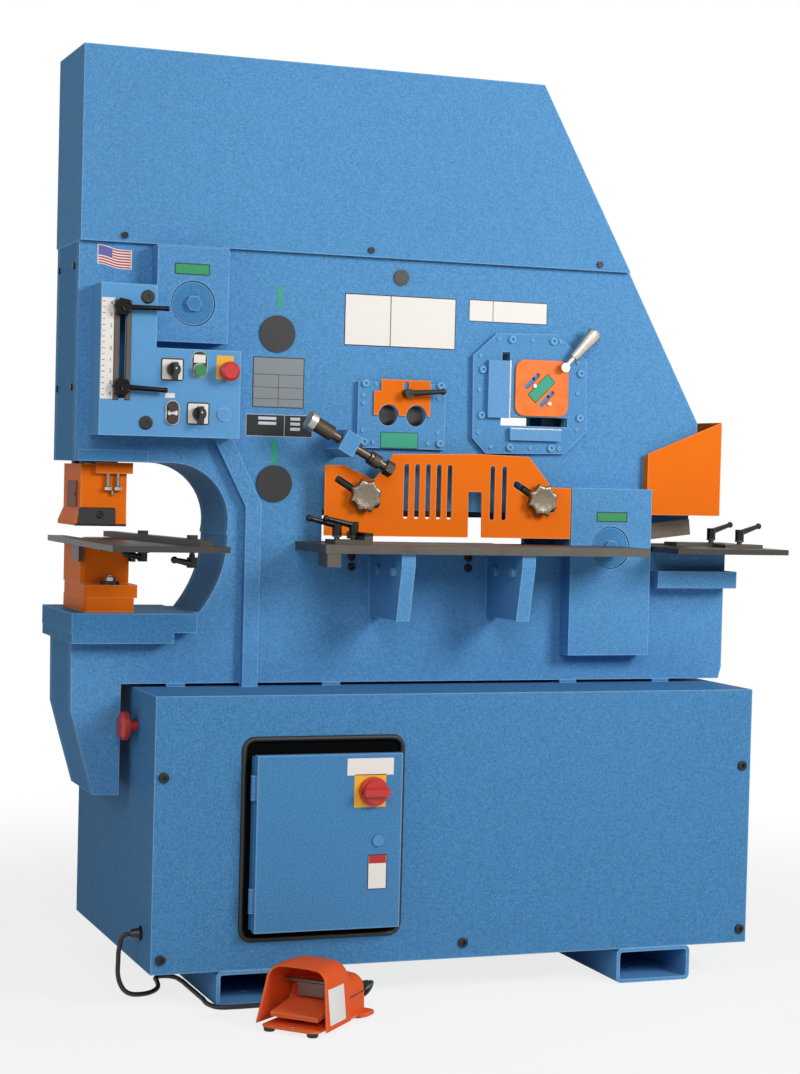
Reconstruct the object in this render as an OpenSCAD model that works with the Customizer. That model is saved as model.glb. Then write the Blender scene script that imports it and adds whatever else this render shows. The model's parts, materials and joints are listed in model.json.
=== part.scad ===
// Hydraulic ironworker: a C-frame machine that punches at its left end, shears flat stock, bars
// and angles in the middle, and notches at its right end. +X runs along the machine from the
// punch to the notcher, the front faces -Y, and z = 0 is the floor. The origin is the centre of
// the four floor anchor holes.

/* [Cabinet] */
// Length of the power-unit cabinet
cab_l = 1350; // [1300:10:1420]
// Depth of the cabinet, front to back
cab_d = 690; // [660:10:740]
// Height of the cabinet above its foot tubes
cab_h = 560; // [520:10:600]
// Thickness of the cabinet's sheet
cab_sheet = 4; // [3:0.5:6]

/* [Foot tubes] */
// Width of a foot tube, which takes a lift truck's fork
tube_w = 176; // [150:2:200]
// Height of a foot tube
tube_h = 75; // [60:1:90]
// Wall of a foot tube
tube_wall = 8; // [5:1:10]
// Distance between the two tubes' centre lines
tube_span = 898; // [800:2:960]
// Distance between front and rear floor anchors
anchor_span = 500; // [400:10:560]
// Diameter of a floor anchor hole
anchor_d = 18; // [12:1:24]

/* [Frame] */
// Distance over the two side plates
frame_d = 212; // [200:2:230]
// Thickness of a side plate
plate_t = 20; // [16:1:22]
// Distance from the cabinet's front to the front plate
frame_setback = 190; // [180:2:220]
// How far the jaws reach past the cabinet's left side
jaw_reach = 133; // [125:1:150]
// Thickness of the webs between the side plates
web_t = 14; // [10:1:18]
// Throat depth, from the punch to the frame
throat_depth = 254; // [240:2:260]
// Height of the throat
throat_h = 311; // [300:1:320]
// Height of the lower platform above the cabinet
platform_rise = 156; // [150:1:170]
// Length of the platform along Y
platform_d = 300; // [280:5:330]

/* [Hood] */
// Height of the hood
hood_h = 399; // [380:1:450]
// Thickness of the hood's sheet
hood_sheet = 4; // [3:0.5:5]
// Gap between the hood and the side plates
hood_gap = 9; // [5:1:14]

/* [Punching] */
// Radius of the punch ram
ram_r = 40; // [34:1:44]
// Radius of the main pivot pins
pin_r = 45; // [38:1:48]
// Distance from the rocker's pivot to the ram
rocker_arm_ram = 156; // [150:1:162]
// Distance from the rocker's pivot to the cylinder
rocker_arm_cyl = 197; // [190:1:205]
// Hole in the die
die_hole_d = 22; // [12:1:26]
// Travel of the punch
punch_stroke = 45; // [30:1:47]

/* [Cylinder] */
// Outer radius of the cylinder barrel
barrel_r = 60; // [56:1:61]
// Bore radius of the barrel
bore_r = 46; // [40:1:50]
// Radius of the piston rod
rod_r = 30; // [24:1:34]

/* [Shearing] */
// Thickness of the shear beam
beam_t = 60; // [50:2:64]
// Length of the flat shear window
window_l = 557; // [500:1:570]
// Opening under the upper blade
blade_gap = 55; // [48:1:60]
// Height of the work tables above the floor
table_z = 943; // [938:1:948]
// Radius of the bar shear's holes
bar_r = 22; // [14:1:24]
// Depth of the flat shear's table
table_d = 205; // [190:5:240]
// Length of the flat shear's table
table_l = 735; // [700:5:760]
// Thickness of the tables
table_t = 18; // [14:1:20]

/* [Covers and guards] */
// Thickness of the orange sheet guards
guard_t = 4; // [3:0.5:5]
// Depth of the control box
panel_d = 88; // [70:1:100]
// Thickness of the pivot blocks
block_t = 48; // [40:1:55]
// Running clearance between sliding pieces
clear = 0.5; // [0.4:0.1:0.8]
// Radial clearance of a turning pin or shaft
fit = 0.05; // [0.02:0.01:0.08]

/* [Foot switch] */
// Width of the foot switch's shield
pedal_w = 140; // [130:2:160]
// Height of the foot switch
pedal_h = 146; // [140:1:165]
// Diameter of the foot switch's cord
cord_d = 10; // [8:0.5:11]

/* [Hidden] */
$fn = 48;
eps = 0.01;
tall = 4000;

// Main places along the machine
x_left = -cab_l / 2 - jaw_reach;
x_cab = cab_l / 2;
punch_x = x_left + 74;
throat_x = punch_x + throat_depth;
rocker_x = punch_x + rocker_arm_ram;
cyl_x = rocker_x + rocker_arm_cyl;
beam_x = x_cab - 287;
beam_arm = beam_x - cyl_x;
win_x1 = beam_x - 103;
win_x0 = win_x1 - window_l;
bar_x = beam_x - 488;
angle_x = beam_x - 189;

// Main places from front to back
y_front = -cab_d / 2 + frame_setback;
y_back = y_front + frame_d;
y_mid = (y_front + y_back) / 2;
y_in0 = y_front + plate_t;
y_in1 = y_back - plate_t;
y_cab = -cab_d / 2;

// Main heights
cab_z = tube_h + cab_h;
frame_z = cab_z + 7;
platform_z = cab_z + platform_rise;
throat_z = platform_z + throat_h;
hood_z = throat_z + 450;
hood_top = hood_z + hood_h;
rocker_z = throat_z + 329;
cyl_z = rocker_z - 51;
beam_z = table_z - 4;
rod_z = beam_z + 125;
bar_z = table_z + 273;
angle_z = table_z + 331;
blade_z = table_z + blade_gap;

// The frame's sloping right end
slope_x0 = x_cab - 235;
slope_x1 = x_cab - 54;
slope_z1 = hood_z - 330;
frame_x1 = x_cab + 24;
notch_x = x_cab - 180;
notch_z = table_z - 12;
arm_z = notch_z + 144;

// ---------------------------------------------------------------- general shapes

// A box given by its lowest and highest corners
module span(a, b) {
    translate(a) cube([b[0] - a[0], b[1] - a[1], b[2] - a[2]]);
}

// A cylinder along Y between two depths
module rod_y(x, z, r, y0, y1) {
    translate([x, y1, z]) rotate([90, 0, 0]) cylinder(r = r, h = y1 - y0);
}

// A tapered round bar between two points
module bar_between(a, b, r1, r2) {
    d = b - a;
    len = norm(d);
    translate(a) rotate([0, acos(d[2] / len), atan2(d[1], d[0])])
        cylinder(r1 = r1, r2 = r2, h = len);
}

// A plate outline in X and Z, as thick as y0 to y1
module plate_xz(points, y0, y1) {
    translate([0, y1, 0]) rotate([90, 0, 0]) linear_extrude(y1 - y0) polygon(points);
}

// A rectangle with round corners
module round_rect(w, h, r) {
    square([w - 2 * r, h], center = true);
    square([w, h - 2 * r], center = true);
    for (sx = [-1, 1], sz = [-1, 1])
        translate([sx * (w / 2 - r), sz * (h / 2 - r)]) circle(r = r, $fn = 32);
}

// A round-cornered plate facing the front, about its centre
module round_plate(x, z, w, h, r, y0, y1) {
    translate([x, y1, z]) rotate([90, 0, 0]) linear_extrude(y1 - y0) round_rect(w, h, r);
}

// A slot through a plate, from one centre to another
module slot_y(a, b, r, y0, y1) {
    rod_y(a[0], a[1], r, y0, y1);
    rod_y(b[0], b[1], r, y0, y1);
    d = b - a;
    w = r - (d[0] * d[1] == 0 ? 0 : 0.03);
    translate([a[0], y0, a[1]]) rotate([0, -atan2(d[1], d[0]), 0])
        translate([0, 0, -w]) cube([norm(d), y1 - y0, 2 * w]);
}

// Points along an arc, from one angle to another
function arc(c, r, a0, a1, n) =
    [for (i = [0 : n]) c + r * [cos(a0 + (a1 - a0) * i / n), sin(a0 + (a1 - a0) * i / n)]];

// A hand lever: a hub on a stud with a raised tapering arm; dir is the arm's direction in plan
module clamp_lever(hub_h, arm_l, rise, dir) {
    cylinder(r = 6, h = 6);
    translate([0, 0, 5]) cylinder(r = 10, h = hub_h);
    tip = [arm_l * cos(dir), arm_l * sin(dir), 5 + hub_h - 8 + rise];
    bar_between([0, 0, hub_h - 3], tip, 7, 5);
    translate(tip) sphere(r = 7, $fn = 24);
}

// ---------------------------------------------------------------- base and cabinet

// Rectangular tubes under the cabinet, open at both ends for a lift truck's forks
module foot_tubes() {
    color("#3f79ae") for (s = [-1, 1]) difference() {
        translate([s * tube_span / 2, cab_d / 2, tube_h / 2]) rotate([90, 0, 0])
            linear_extrude(cab_d) difference() {
                round_rect(tube_w, tube_h, 12);
                round_rect(tube_w - 2 * tube_wall, tube_h - 2 * tube_wall, 6);
            }
        for (t = [-1, 1]) translate([s * tube_span / 2, t * anchor_span / 2, -1])
            cylinder(d = anchor_d, h = tube_wall + 2);
    }
}

door_w = 318;
door_h = 360;
door_x = -x_cab + 357;
door_z = tube_h + 261;
box_open_w = door_w + 24;
box_open_h = door_h + 49;
palm_y = y_cab + 157;
palm_z = cab_z - 76;
gland_y = y_cab + 82;
gland_z = tube_h + 69;
post_w = 90;
post_xs = [-x_cab + 60, win_x0, win_x1, x_cab - 160];

// Welded cabinet: floor, front, sides, top and the posts that carry the frame
module cabinet() {
    color("#5b97c7") difference() {
        union() {
            difference() {
                span([-x_cab, y_cab, tube_h], [x_cab, -y_cab - cab_sheet, cab_z]);
                span([-x_cab + cab_sheet, y_cab + cab_sheet, tube_h + cab_sheet],
                     [x_cab - cab_sheet, -y_cab + 1, cab_z - cab_sheet]);
            }
            for (x = post_xs)
                span([x, y_mid - post_w / 2, tube_h + cab_sheet - eps],
                     [x + 60, y_mid + post_w / 2, cab_z - cab_sheet + eps]);
        }
        round_plate(door_x, door_z + 5, box_open_w, box_open_h, 26, y_cab - 1, y_cab + cab_sheet + 1);
        translate([-x_cab - 1, palm_y, palm_z]) rotate([0, 90, 0]) cylinder(r = 11, h = cab_sheet + 2);
        translate([-x_cab - 1, gland_y, gland_z]) rotate([0, 90, 0]) cylinder(r = 10, h = cab_sheet + 2);
    }
}

// Removable back of the cabinet, with two fields of cooling slots
module rear_panel() {
    color("#5b97c7") difference() {
        span([-x_cab, -y_cab - cab_sheet, tube_h], [x_cab, -y_cab, cab_z]);
        for (s = [-1, 1], i = [0 : 6])
            slot_y([s * 380 - 70, cab_z - 190 + i * 18], [s * 380 + 70, cab_z - 190 + i * 18],
                   4, -y_cab - cab_sheet - 1, -y_cab + 1);
    }
}

box_proud = 18;
door_t = 18;
box_depth = 170;
hinge_x = door_x - door_w / 2;
hinge_y = y_cab - box_proud - door_t / 2;

// Electrical enclosure set into the cabinet's front, with its mounting flange behind the sheet
module electrical_box() {
    wall = 3;
    color("#4f8abb") {
        difference() {
            union() {
                span([door_x - door_w / 2 + 4, y_cab - box_proud, door_z - door_h / 2 + 4],
                     [door_x + door_w / 2 - 4, y_cab + box_depth, door_z + door_h / 2 - 4]);
                span([door_x - box_open_w / 2 - 15, y_cab + cab_sheet, door_z + 5 - box_open_h / 2 - 15],
                     [door_x + box_open_w / 2 + 15, y_cab + cab_sheet + 3, door_z + 5 + box_open_h / 2 + 15]);
            }
            span([door_x - door_w / 2 + 4 + wall, y_cab - box_proud - 1, door_z - door_h / 2 + 4 + wall],
                 [door_x + door_w / 2 - 4 - wall, y_cab + box_depth - wall, door_z + door_h / 2 - 4 - wall]);
        }
        // mounting plate with a contactor and a terminal rail
        span([door_x - 120, y_cab + box_depth - wall - 60, door_z - 40],
             [door_x - 30, y_cab + box_depth - wall + eps, door_z + 80]);
        span([door_x - 120, y_cab + box_depth - wall - 35, door_z - 120],
             [door_x + 120, y_cab + box_depth - wall + eps, door_z - 85]);
    }
}

knob_x = door_x + 94;
knob_z = door_z + 103;
latch_x = door_x + 108;
latch_z = door_z + 1;

// Door of the enclosure: a folded pan on two hinge knuckles
module cabinet_door() {
    wall = 2;
    y0 = y_cab - box_proud - door_t;
    y1 = y_cab - box_proud - clear;
    color("#5b97c7") {
        difference() {
            span([hinge_x + 6, y0, door_z - door_h / 2], [door_x + door_w / 2, y1, door_z + door_h / 2]);
            span([hinge_x + 6 + wall, y0 + wall, door_z - door_h / 2 + wall],
                 [door_x + door_w / 2 - wall, y1 + 1, door_z + door_h / 2 - wall]);
            rod_y(knob_x, knob_z, 8 + clear, y0 - 1, y1);
            rod_y(latch_x, latch_z, 7 + clear, y0 - 1, y1);
        }
        for (s = [-1, 1]) {
            translate([hinge_x, hinge_y, door_z + s * 115 - 25]) cylinder(r = 5, h = 50);
            span([hinge_x, hinge_y - 3, door_z + s * 115 - 25],
                 [hinge_x + 6 + eps, hinge_y + 3, door_z + s * 115 + 25]);
        }
    }
}

// Handle of the main switch, on a shaft through the door
module disconnect_knob() {
    y0 = y_cab - box_proud - door_t;
    color("#c8281e") {
        rod_y(knob_x, knob_z, 8, y0 - 10, y0 + 12);
        rod_y(knob_x, knob_z, 30, y0 - 14, y0 - clear);
        rod_y(knob_x, knob_z, 24, y0 - 20, y0 - 14 + eps);
        span([knob_x - 27, y0 - 34, knob_z - 7], [knob_x + 27, y0 - 18, knob_z + 7]);
    }
}

// Quarter-turn latch with its tongue behind the door
module door_latch() {
    y0 = y_cab - box_proud - door_t;
    color("#8c969e") {
        rod_y(latch_x, latch_z, 12, y0 - 4, y0 - clear);
        rod_y(latch_x, latch_z, 7, y0 - 3, y0 + 13);
        span([latch_x - 6, y0 + 8, latch_z - 5], [latch_x + 32, y0 + 12, latch_z + 5]);
    }
}

// ---------------------------------------------------------------- frame

// The throat's hollow in X and Z: a round top corner and a long round lower side, grown by g
module throat_form(g, y0, y1) {
    rt = 120 + g;
    rl = 255 + g;
    cx = throat_x - 120;
    cz = throat_z - 120;
    lx = throat_x - 255;
    lz = throat_z - 148;
    rod_y(cx, cz, rt, y0, y1);
    span([x_left - 40, y0, lz], [cx, y1, throat_z + g]);
    span([cx - 1, y0, lz], [throat_x + g - 2.5, y1, cz]);
    intersection() {
        rod_y(lx, lz, rl, y0, y1);
        span([lx, y0, platform_z], [throat_x + g + 1, y1, lz]);
    }
    span([x_left - 40, y0, platform_z], [lx + 1, y1, lz + 1]);
}

frame_outline = [
    [x_left + 6, hood_z + 68], [x_left + 6, hood_z], [x_left, hood_z], [x_left, throat_z],
    [x_left, platform_z - 56], [x_left + 2, platform_z - 202],
    [x_left + 22, platform_z - 274], [x_left + 52, platform_z - 378], [-x_cab - 27, platform_z - 380],
    [-x_cab - 27, frame_z], [x_cab + 17, frame_z], [frame_x1, frame_z + 26], [frame_x1, notch_z],
    [notch_x, notch_z], [notch_x, arm_z], [slope_x1, arm_z], [slope_x1, slope_z1],
    [slope_x0, hood_z], [slope_x0 - 14, hood_z], [slope_x0 - 62, hood_z + 68]];

// Openings that both side plates share
module plate_openings(y0, y1) {
    throat_form(0, y0, y1);
    rod_y(rocker_x, rocker_z, pin_r + fit, y0, y1);
    rod_y(beam_x, beam_z, pin_r + fit, y0, y1);
    span([win_x0, y0, table_z - 14], [win_x1, y1, table_z + 69]);
    round_plate(bar_x, bar_z, 130, 76, 12, y0, y1);
    round_plate(angle_x - 4, angle_z, 190, 170, 20, y0, y1);
}

slab_w = 263;
slab_low_w = 214;
step_t = 40;
step_low_t = 22;

// Platform of the lower jaw: a wide slab on a shorter lower one
module platform_slabs() {
    span([x_left - 9, y_mid - platform_d / 2, platform_z - step_t],
         [x_left - 9 + slab_w, y_mid + platform_d / 2, platform_z]);
    span([x_left - 8, y_mid - platform_d / 2, platform_z - step_t - step_low_t],
         [x_left - 8 + slab_low_w, y_mid + platform_d / 2, platform_z - step_t]);
}

// Front side plate
module front_plate() {
    color("#5b97c7") difference() {
        plate_xz(frame_outline, y_front, y_in0);
        plate_openings(y_front - 1, y_in0 + 1);
        platform_slabs();
        rod_y(cyl_x, cyl_z, 36, y_front - 1, y_in0 + 1);
        rod_y(cyl_x, rod_z, 36, y_front - 1, y_in0 + 1);
    }
}

// Rear side plate
module rear_plate() {
    color("#5b97c7") difference() {
        plate_xz(frame_outline, y_in1, y_back);
        plate_openings(y_in1 - 1, y_back + 1);
        platform_slabs();
    }
}

slug_r = 20;
guide_w = 156;
guide_h = 140;

// Welded pieces between the side plates: webs, throat liner, ram guide and the lower platform
module frame_webs() {
    y0 = y_in0;
    y1 = y_in1;
    color("#4f8abb") {
        // left column, top and sloping webs
        span([x_left, y0, throat_z + guide_h], [x_left + web_t, y1, hood_z]);
        plate_xz([[slope_x1 - web_t, arm_z + 32], [slope_x1, arm_z + 32], [slope_x1, slope_z1],
                  [slope_x0, hood_z], [slope_x0 - 16, hood_z], [slope_x1 - web_t, slope_z1 - 3]], y0, y1);
        // bottom web over the cabinet
        span([throat_x, y0, frame_z], [x_cab - 20, y1, frame_z + web_t]);
        // throat liner
        difference() {
            intersection() {
                throat_form(web_t, y0, y1);
                span([punch_x + guide_w / 2, y0 - 1, platform_z], [throat_x + 40, y1 + 1, throat_z + web_t]);
            }
            throat_form(0, y0 - 1, y1 + 1);
        }
        // lower jaw: sloping front web and the inner web beside the cabinet
        plate_xz([[x_left, platform_z - step_t - step_low_t], [x_left + 2, platform_z - 202],
                  [x_left + 22, platform_z - 274], [x_left + 52, platform_z - 378],
                  [x_left + 66, platform_z - 378],
                  [x_left + 36, platform_z - 274], [x_left + 16, platform_z - 202],
                  [x_left + web_t, platform_z - step_t - step_low_t]], y0, y1);
        span([-x_cab - 27 - web_t, y0, platform_z - 378],
             [-x_cab - 27, y1, platform_z - step_t - step_low_t]);
        // guide block for the ram, and the ledge under the upper jaw
        difference() {
            union() {
                span([x_left, y0, throat_z], [punch_x + guide_w / 2, y1, throat_z + guide_h]);
                span([x_left + 4, y_front - 8, throat_z], [punch_x + guide_w / 2, y_front, throat_z + 24]);
            }
            translate([punch_x, y_mid, throat_z - 1]) cylinder(r = ram_r + fit, h = guide_h + 2);
        }
        // platform, with the hole that lets the slugs out
        difference() {
            union() {
                platform_slabs();
                span([x_left - 10 + slab_w, y0, platform_z - step_t], [throat_x - 40, y1, platform_z]);
            }
            translate([punch_x, y_mid, platform_z - 100]) cylinder(r = slug_r, h = 101);
        }
        // pads that seat the frame on the cabinet
        for (x = post_xs, y = [y_front, y_in1])
            span([x + 10, y, cab_z], [x + 50, y + plate_t, frame_z]);
    }
}

// Folded hood over the frame's top, open at the bottom
module hood() {
    y0 = y_front - hood_gap - hood_sheet - 1;
    y1 = y_back + hood_gap + hood_sheet + 1;
    w = hood_sheet;
    xl = x_left;
    xt = x_cab - 460;
    xb = slope_x0 - 4;
    color("#5b97c7") {
        difference() {
            plate_xz([[xl, hood_z], [xb, hood_z], [xt, hood_top], [xl, hood_top]], y0, y1);
            plate_xz([[xl + w, hood_z - 1], [xb - w - 2, hood_z - 1], [xt - w - 1, hood_top - w],
                      [xl + w, hood_top - w]], y0 + w, y1 - w);
        }
        // spacer strips that the hood's screws pass through
        for (x = [xl + 91, xl + 628, xl + 1167])
            for (y = [[y0 + w - eps, y_front], [y_back, y1 - w + eps]])
                span([x - 15, y[0], hood_z + 2], [x + 15, y[1], hood_z + 32]);
    }
}

// A hexagon-headed bolt seen end-on, standing out from a front face
module hex_y(x, z, r, y0, y1) {
    translate([x, y1, z]) rotate([90, 0, 0]) cylinder(r = r, h = y1 - y0, $fn = 6);
}

// Bolts of the sloping web and screws of the hood and column
module cover_screws() {
    color("#4f8abb") {
        d = [slope_x1 - slope_x0, slope_z1 - hood_z];
        ang = atan2(d[0], -d[1]);
        for (f = [0.04, 0.33, 0.62, 0.92])
            translate([slope_x0 + d[0] * f, 0, hood_z + d[1] * f]) rotate([0, 90 - ang, 0])
                for (y = [y_mid - 30, y_mid + 62]) translate([0, y, 0]) {
                    cylinder(r = 14, h = 3);
                    cylinder(r = 12, h = 12, $fn = 6);
                }
    }
    color("#22262a") {
        for (x = [x_left + 91, x_left + 628, x_left + 1167])
            rod_y(x, hood_z + 14, 7, y_front - hood_gap - hood_sheet - 6,
                  y_front - hood_gap - hood_sheet - 1);
        for (y = [y_in0 + 23, y_in1 - 5], z = [hood_z - 49, hood_z - 299])
            translate([x_left - 4, y, z]) rotate([0, 90, 0]) cylinder(r = 7, h = 4);
    }
}

left_block = [[rocker_x - 77, rocker_z - 80], [rocker_x + 75, rocker_z + 117]];
right_block = [[beam_x - 97, beam_z - 239], [beam_x + 99, beam_z + 131]];

// Bearing blocks welded on the front plate around the two main pins
module pivot_blocks() {
    color("#5b97c7") {
        difference() {
            span([left_block[0][0], y_front - block_t, left_block[0][1]],
                 [left_block[1][0], y_front, left_block[1][1]]);
            rod_y(rocker_x, rocker_z, pin_r + 2, y_front - block_t - 1, y_front + 1);
        }
        difference() {
            span([right_block[0][0], y_front - block_t, right_block[0][1]],
                 [right_block[1][0], y_front, right_block[1][1]]);
            rod_y(beam_x, beam_z, pin_r + 2, y_front - block_t - 1, y_front + 1);
        }
    }
}

// Fixed pins of the punch rocker and of the shear beam
module pivot_pins() {
    color("#6ba6d2") for (p = [[rocker_x, rocker_z], [beam_x, beam_z]]) {
        rod_y(p[0], p[1], pin_r, y_front - block_t + 2, y_back + 14);
        hex_y(p[0], p[1], 17, y_front - block_t - 8, y_front - block_t + 3);
        rod_y(p[0], p[1], pin_r + 14, y_back, y_back + 8);
    }
}

duct_x = throat_x + 50;
duct_z = table_z + 75;
duct_w = 34;

// Sheet raceway for the wires, from the control box down to the cabinet
module wiring_duct() {
    top = throat_z + 53;
    d = [-69, top - duct_z];
    h = duct_w / 2;
    color("#5b97c7") plate_xz([[duct_x - h, cab_z], [duct_x + h, cab_z], [duct_x + h, duct_z + 4],
        [duct_x + d[0] + h + 3, top], [duct_x + d[0] - h - 3, top], [duct_x - h, duct_z - 4]],
        y_front - 20, y_front);
}

// Plugs in the openings that reach the cylinder's pins
module pin_covers() {
    color("#1f2326") {
        for (z = [cyl_z, rod_z]) {
            rod_y(cyl_x, z, 39, y_front - 4, y_front);
            rod_y(cyl_x, z, 36, y_front - eps, y_front + 12);
        }
        rod_y(bar_x - 5, hood_z - 39, 17, y_front - 4, y_front);
    }
}

// ---------------------------------------------------------------- working parts in the frame

cheek0 = 62;
cheek1 = 80;
nose_r = 22;
nose_half = 20;
trunnion_r = 20;

// Rocker: one arm pushes the ram down, two cheeks hold the cylinder's trunnions
module punch_rocker() {
    color("#7f8a92") difference() {
        union() {
            rod_y(rocker_x, rocker_z, 72, y_mid - cheek1, y_mid + cheek1);
            rod_y(punch_x, rocker_z, nose_r, y_mid - nose_half, y_mid + nose_half);
            translate([0, 0, rocker_z]) plate_xz([[punch_x, -10], [punch_x + 46, -10],
                [punch_x + 64, -30], [rocker_x, -70], [rocker_x, 70], [punch_x + 64, 30],
                [punch_x + 46, 10], [punch_x, 10]], y_mid - nose_half, y_mid + nose_half);
            for (y = [[y_mid - cheek1, y_mid - cheek0], [y_mid + cheek0, y_mid + cheek1]]) {
                plate_xz([[rocker_x - 10, rocker_z + 71], [rocker_x - 20, rocker_z - 69],
                          [cyl_x - 20, cyl_z - 37], [cyl_x + 20, cyl_z + 37]], y[0], y[1]);
                rod_y(cyl_x, cyl_z, 42, y[0], y[1]);
            }
        }
        rod_y(rocker_x, rocker_z, pin_r + fit, y_mid - cheek1 - 1, y_mid + cheek1 + 1);
        slot_y([cyl_x - 8, cyl_z], [cyl_x + 8, cyl_z], trunnion_r + clear, y_mid - cheek1 - 1,
               y_mid + cheek1 + 1);
    }
}

// Round ram in the upper jaw; its slot takes the rocker's nose
module punch_ram() {
    color("#8f9aa2") difference() {
        translate([punch_x, y_mid, throat_z - 4]) cylinder(r = ram_r, h = 388);
        span([punch_x - nose_r - 3, y_mid - nose_half - 1, rocker_z - nose_r - 0.8],
             [punch_x + ram_r + 1, y_mid + nose_half + 1, rocker_z + nose_r + 0.8]);
    }
}

barrel_z0 = cyl_z - 115;
barrel_z1 = cyl_z + 252;
piston_z = barrel_z0 + 206;
piston_h = 26;

// Hydraulic cylinder standing up in the hood, hung in the rocker by its trunnions
module cylinder_barrel() {
    color("#2d3236") {
        difference() {
            translate([cyl_x, y_mid, barrel_z0]) cylinder(r = barrel_r, h = barrel_z1 - barrel_z0);
            translate([cyl_x, y_mid, barrel_z0 + 20]) cylinder(r = bore_r, h = barrel_z1 - barrel_z0 - 45);
            translate([cyl_x, y_mid, barrel_z0 - 1]) cylinder(r = rod_r + fit, h = 22);
        }
        for (s = [-1, 1]) translate([cyl_x, y_mid + s * (barrel_r - 4), cyl_z]) rotate([-s * 90, 0, 0])
            cylinder(r = trunnion_r, h = cheek1 - barrel_r + 4);
        // ports for the two hoses
        for (z = [barrel_z0 + 40, barrel_z1 - 50])
            translate([cyl_x + barrel_r - 6, y_mid, z]) rotate([0, 90, 0]) cylinder(r = 15, h = 18);
    }
}

fork0 = 32;
fork1 = 50;
rod_pin_r = 24;

// Piston, rod and the fork whose pin moves the shear beam
module cylinder_rod() {
    color("#c4ccd2") {
        translate([cyl_x, y_mid, piston_z]) cylinder(r = bore_r - fit, h = piston_h);
        translate([cyl_x, y_mid, rod_z + 52]) cylinder(r = rod_r, h = piston_z - rod_z - 51);
    }
    color("#7f8a92") {
        span([cyl_x - 40, y_mid - fork1, rod_z + 50], [cyl_x + 40, y_mid + fork1, rod_z + 68]);
        for (y = [[y_mid - fork1, y_mid - fork0], [y_mid + fork0, y_mid + fork1]]) {
            span([cyl_x - 40, y[0], rod_z], [cyl_x + 40, y[1], rod_z + 51]);
            rod_y(cyl_x, rod_z, 40, y[0], y[1]);
        }
        rod_y(cyl_x, rod_z, rod_pin_r, y_mid - fork1 - 6, y_mid + fork1 + 6);
    }
}

beam_y0 = y_mid - beam_t / 2;
beam_y1 = y_mid + beam_t / 2;
top_z = hood_z - 132;
blade_l = 329;
blade_h = 40;
blade_t = 18;
bar_holes = [bar_x - 32, bar_x + 32];
notch_tilt = 7;

// The angle shear's L-shaped opening, grown by g
module angle_opening(g, y0, y1) {
    span([angle_x - 68 - g, y0, angle_z - 71 - g], [angle_x - 49 + g, y1, angle_z + 89 + g]);
    span([angle_x - 68 - g, y0, angle_z - 71 - g], [angle_x + 92 + g, y1, angle_z - 51 + g]);
}

// Lever plate that the cylinder swings on the main pin: it shears on its left, notches on its right
module shear_beam() {
    e = 38;
    color("#5b97c7") difference() {
        union() {
            plate_xz([[cyl_x - 30, rod_z - e + 2], [cyl_x + 20, rod_z - e + 2], [win_x0, blade_z],
                [win_x0 + 422, blade_z], [beam_x - 60, beam_z - 20], [beam_x + 62, beam_z - 20],
                [notch_x + 15, blade_z - 12], [notch_x + 150, blade_z - 2], [notch_x + 150, blade_z + 50],
                [notch_x + 5, blade_z + 77], [beam_x + 40, blade_z + 162], [beam_x - 53, top_z],
                [bar_x - 85, top_z], [bar_x - 105, top_z - 20], [bar_x - 105, bar_z + 14],
                [cyl_x + 101, rod_z + 42], [cyl_x + 11, rod_z + e - 2], [cyl_x - 30, rod_z + e - 2]],
                beam_y0, beam_y1);
            rod_y(cyl_x - 30, rod_z, e, beam_y0, beam_y1);
            rod_y(beam_x, beam_z, 75, y_mid - cheek1, y_mid + cheek1);
        }
        rod_y(beam_x, beam_z, pin_r + fit, y_mid - cheek1 - 1, y_mid + cheek1 + 1);
        slot_y([cyl_x - 30, rod_z - 1.2], [cyl_x + 11.5, rod_z - 1.2], rod_pin_r + 1.5,
               beam_y0 - 1, beam_y1 + 1);
        span([win_x0 - 1, beam_y0 - 1, blade_z - 1],
             [win_x0 + blade_l, beam_y0 + blade_t, blade_z + blade_h]);
        for (x = bar_holes) rod_y(x, bar_z, bar_r + 8, beam_y0 - 1, beam_y1 + 1);
        angle_opening(4, beam_y0 - 1, beam_y1 + 1);
        round_plate(angle_x - 4, angle_z, 190, 190, 10, beam_y0 - 1, beam_y0 + 12);
        notch_blade(1);
    }
}

// The notcher's blade, tilted as the beam stands at rest
module notch_blade(g = 0) {
    translate([notch_x + 45, 0, blade_z - 44]) rotate([0, -notch_tilt, 0])
        span([0, beam_y0 - g, 0], [112, beam_y1 + g, 36]);
}

// Hardened tools carried by the beam
module moving_blades() {
    color("#9aa3a9") {
        span([win_x0 - 1, beam_y0, blade_z - 1], [win_x0 + blade_l, beam_y0 + blade_t, blade_z + blade_h]);
        for (x = bar_holes) difference() {
            rod_y(x, bar_z, bar_r + 8, beam_y0, beam_y1);
            rod_y(x, bar_z, bar_r, beam_y0 - 1, beam_y1 + 1);
        }
        difference() {
            round_plate(angle_x - 4, angle_z, 190, 190, 10, beam_y0, beam_y0 + 12);
            angle_opening(0, beam_y0 - 1, beam_y0 + 13);
        }
        notch_blade();
    }
}

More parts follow.
